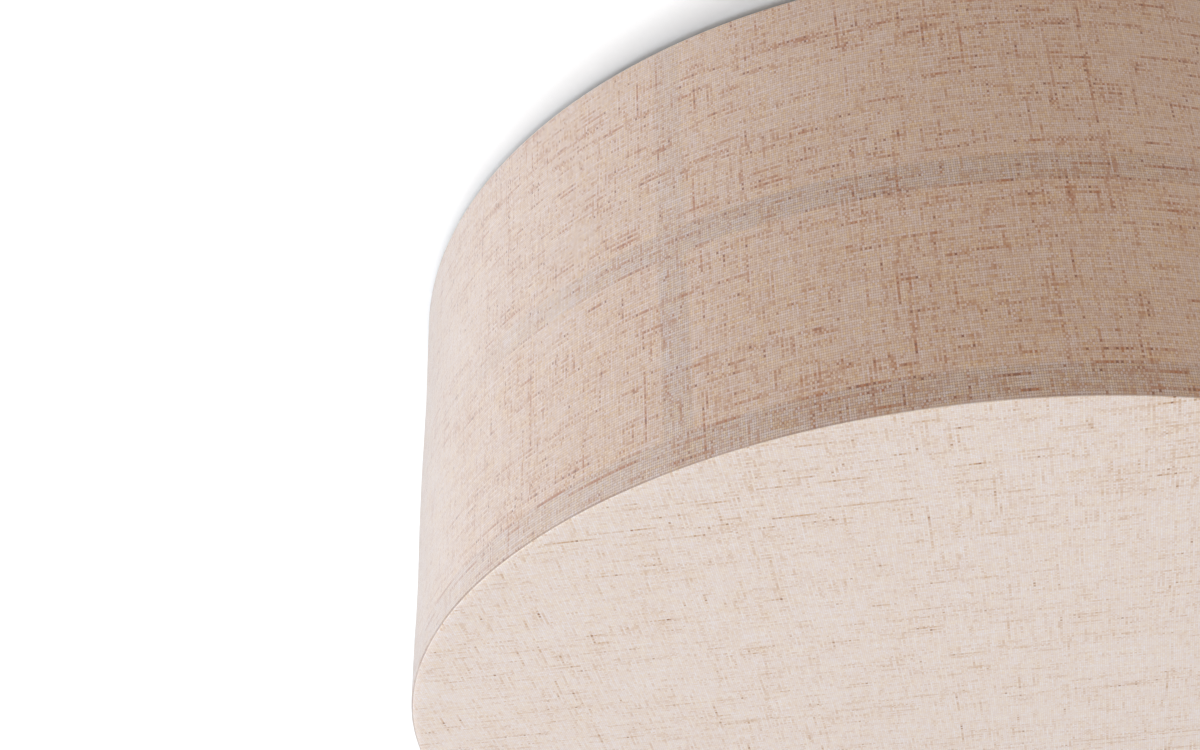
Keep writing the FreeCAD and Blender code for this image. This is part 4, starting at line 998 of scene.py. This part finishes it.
CAMERA_AZIMUTH = 292.7
CAMERA_DISTANCE = 3.37765 * DRUM_RADIUS     # from the drum's axis
CAMERA_DROP = 1.56438 * DRUM_RADIUS         # below the drum's lower edge
CAMERA_PAN = 34.167                         # anticlockwise from +Y, seen from above
CAMERA_TILT = 34.775                        # upwards
CAMERA_ROLL = -0.638
CAMERA_LENS = 62.87
CAMERA_SENSOR = 36.0

CEILING = 0.5 * MM
FLOOR = -2.4
ROOM_REACH = 9.0
ROOM_COLUMNS = 96
OPENING_RADIUS = DRUM_RADIUS - 14 * MM      # over the light, so that views from above see it lit
PAINTED_SHADOW_SIDE = (0.020, -0.010, 0.0)           # the painted shadow of the drum on the ceiling lies to this side
PAINTED_SHADOW_SOFTNESS = 9 * MM
CEILING_GREY = (0.63, 0.65)
CEILING_GLOW = 0.44
FLOOR_GREY = (0.78, 0.82)
FLOOR_GLOW = 0.5

AMBIENT = 0.315
# name, azimuth, elevation, distance, width, power, colour
LIGHTS = (
    ("key", 208, -16, 2.6, 1.8, 74, (0.79, 0.89, 1.0)),
    ("fill", 322, -25, 2.6, 1.8, 18.2, (1.0, 0.86, 0.70)),
    ("below", 270, -84, 2.2, 2.0, 18.5, (1.0, 0.985, 0.97)),
    ("overhead", 90, 80, 1.8, 1.2, 15, (1.0, 1.0, 1.0)),
)


def camera():
    """The photo's camera: below the drum, to the right of its front."""
    data = bpy.data.cameras.new("camera")
    data.lens = CAMERA_LENS
    data.sensor_width = CAMERA_SENSOR
    viewer = bpy.data.objects.new("camera", data)
    bpy.context.scene.collection.objects.link(viewer)
    turn = math.radians(CAMERA_AZIMUTH)
    viewer.location = (CAMERA_DISTANCE * math.cos(turn), CAMERA_DISTANCE * math.sin(turn),
                       DRUM_BOTTOM - CAMERA_DROP)
    aim = (Matrix.Rotation(math.radians(CAMERA_PAN), 4, "Z")
           @ Matrix.Rotation(math.radians(90 + CAMERA_TILT), 4, "X")
           @ Matrix.Rotation(math.radians(CAMERA_ROLL), 4, "Z"))
    viewer.rotation_euler = aim.to_euler()
    bpy.context.scene.camera = viewer


def ceiling_paint():
    """White paint that the camera sees bright, with a shadow round the drum that is partly real and
    partly painted as a glow that fades near it, and that is clear from above."""
    finish = Finish("ceiling_paint", Roughness=0.95)
    finish.show_grey(finish.ramp(finish.noise(finish.place(), 400.0, 1.0), 0.0, 1.0,
                                 *CEILING_GREY))
    # painted shadow: the glow fades near the drum, further out on one side
    reach = finish.node("ShaderNodeVectorMath", {"operation": "DISTANCE"},
                        {0: finish.place(), 1: PAINTED_SHADOW_SIDE}).outputs["Value"]
    glow_with_painted_shadow = finish.glowing(finish.ramp(reach, DRUM_RADIUS - PAINTED_SHADOW_SOFTNESS,
                                     DRUM_RADIUS + PAINTED_SHADOW_SOFTNESS, 0.0, CEILING_GLOW))
    clear = finish.node("ShaderNodeBsdfTransparent")
    behind = finish.node("ShaderNodeNewGeometry").outputs["Backfacing"]
    return finish.surface(finish.node("ShaderNodeMixShader", values={
        0: behind, 1: glow_with_painted_shadow.outputs[0], 2: clear.outputs[0]}))


def floor_paint():
    """Pale paint with a slow mottle, bright enough to read as white."""
    finish = Finish("floor_paint", Roughness=0.8)
    finish.show_grey(finish.ramp(finish.noise(finish.place(), 30.0, 4.0), 0.3, 0.7, *FLOOR_GREY))
    return finish.surface(finish.glowing(FLOOR_GLOW))


def plane_with_opening(name, height, opening):
    """A level plane that faces down, with a round opening about the drum's axis."""
    angles = even_angles(ROOM_COLUMNS)
    points = []
    for reach in (opening, ROOM_REACH):
        points += [(reach * math.cos(a), reach * math.sin(a), height) for a in angles]
    count = len(angles)
    faces = [(n, (n + 1) % count, count + (n + 1) % count, count + n) for n in range(count)]
    return mesh_object(name, points, faces)


def stage():
    """The ceiling that the light hangs from, and a floor."""
    ceiling = plane_with_opening("ceiling", CEILING, OPENING_RADIUS)
    ceiling.data.materials.append(ceiling_paint())
    floor = plane_with_opening("floor", FLOOR, 1 * MM)
    floor.data.flip_normals()
    floor.data.materials.append(floor_paint())


def soft_light(name, azimuth, elevation, distance, width, power, colour):
    """A square area light that faces the drum's middle."""
    data = bpy.data.lights.new(name, "AREA")
    data.shape = "SQUARE"
    data.size = width
    data.energy = power
    data.color = colour
    lamp = bpy.data.objects.new(name, data)
    bpy.context.scene.collection.objects.link(lamp)
    turn, rise = math.radians(azimuth), math.radians(elevation)
    out = Vector((math.cos(turn) * math.cos(rise), math.sin(turn) * math.cos(rise),
                  math.sin(rise)))
    middle = Vector((0, 0, (DRUM_TOP + DRUM_BOTTOM) / 2))
    lamp.location = middle + out * distance
    lamp.rotation_mode = "QUATERNION"
    lamp.rotation_quaternion = out.to_track_quat("Z", "Y")


def surroundings():
    """A white world for the camera and for reflections, and a gentle even light for the rest."""
    world = bpy.data.worlds.new("surroundings")
    bpy.context.scene.world = world
    world.use_nodes = True
    nodes = Nodes(world.node_tree)
    background = nodes.tree.nodes["Background"]
    background.inputs["Color"].default_value = (1.0, 1.0, 1.0, 1.0)
    nodes.put(background.inputs["Strength"],
              nodes.ramp(nodes.seen_directly(), 0.0, 1.0, AMBIENT, 1.0))


# ---------------------------------------------------------------- build

camera()
stage()
surroundings()
for light in LIGHTS:
    soft_light(*light)
shade_sleeve(wall_linen())
bottom_cover(bottom_linen())
finishes = hard_finishes()
dress(finishes)
for lamp_number in range(1, LAMP_COUNT + 1):
    bulb_base(lamp_number, finishes["bulb_base"])
    screw_shell(lamp_number, finishes["brass"])
    holder_skirt(lamp_number, finishes["holder_plastic"])
weld_marks(finishes["frame_white"])
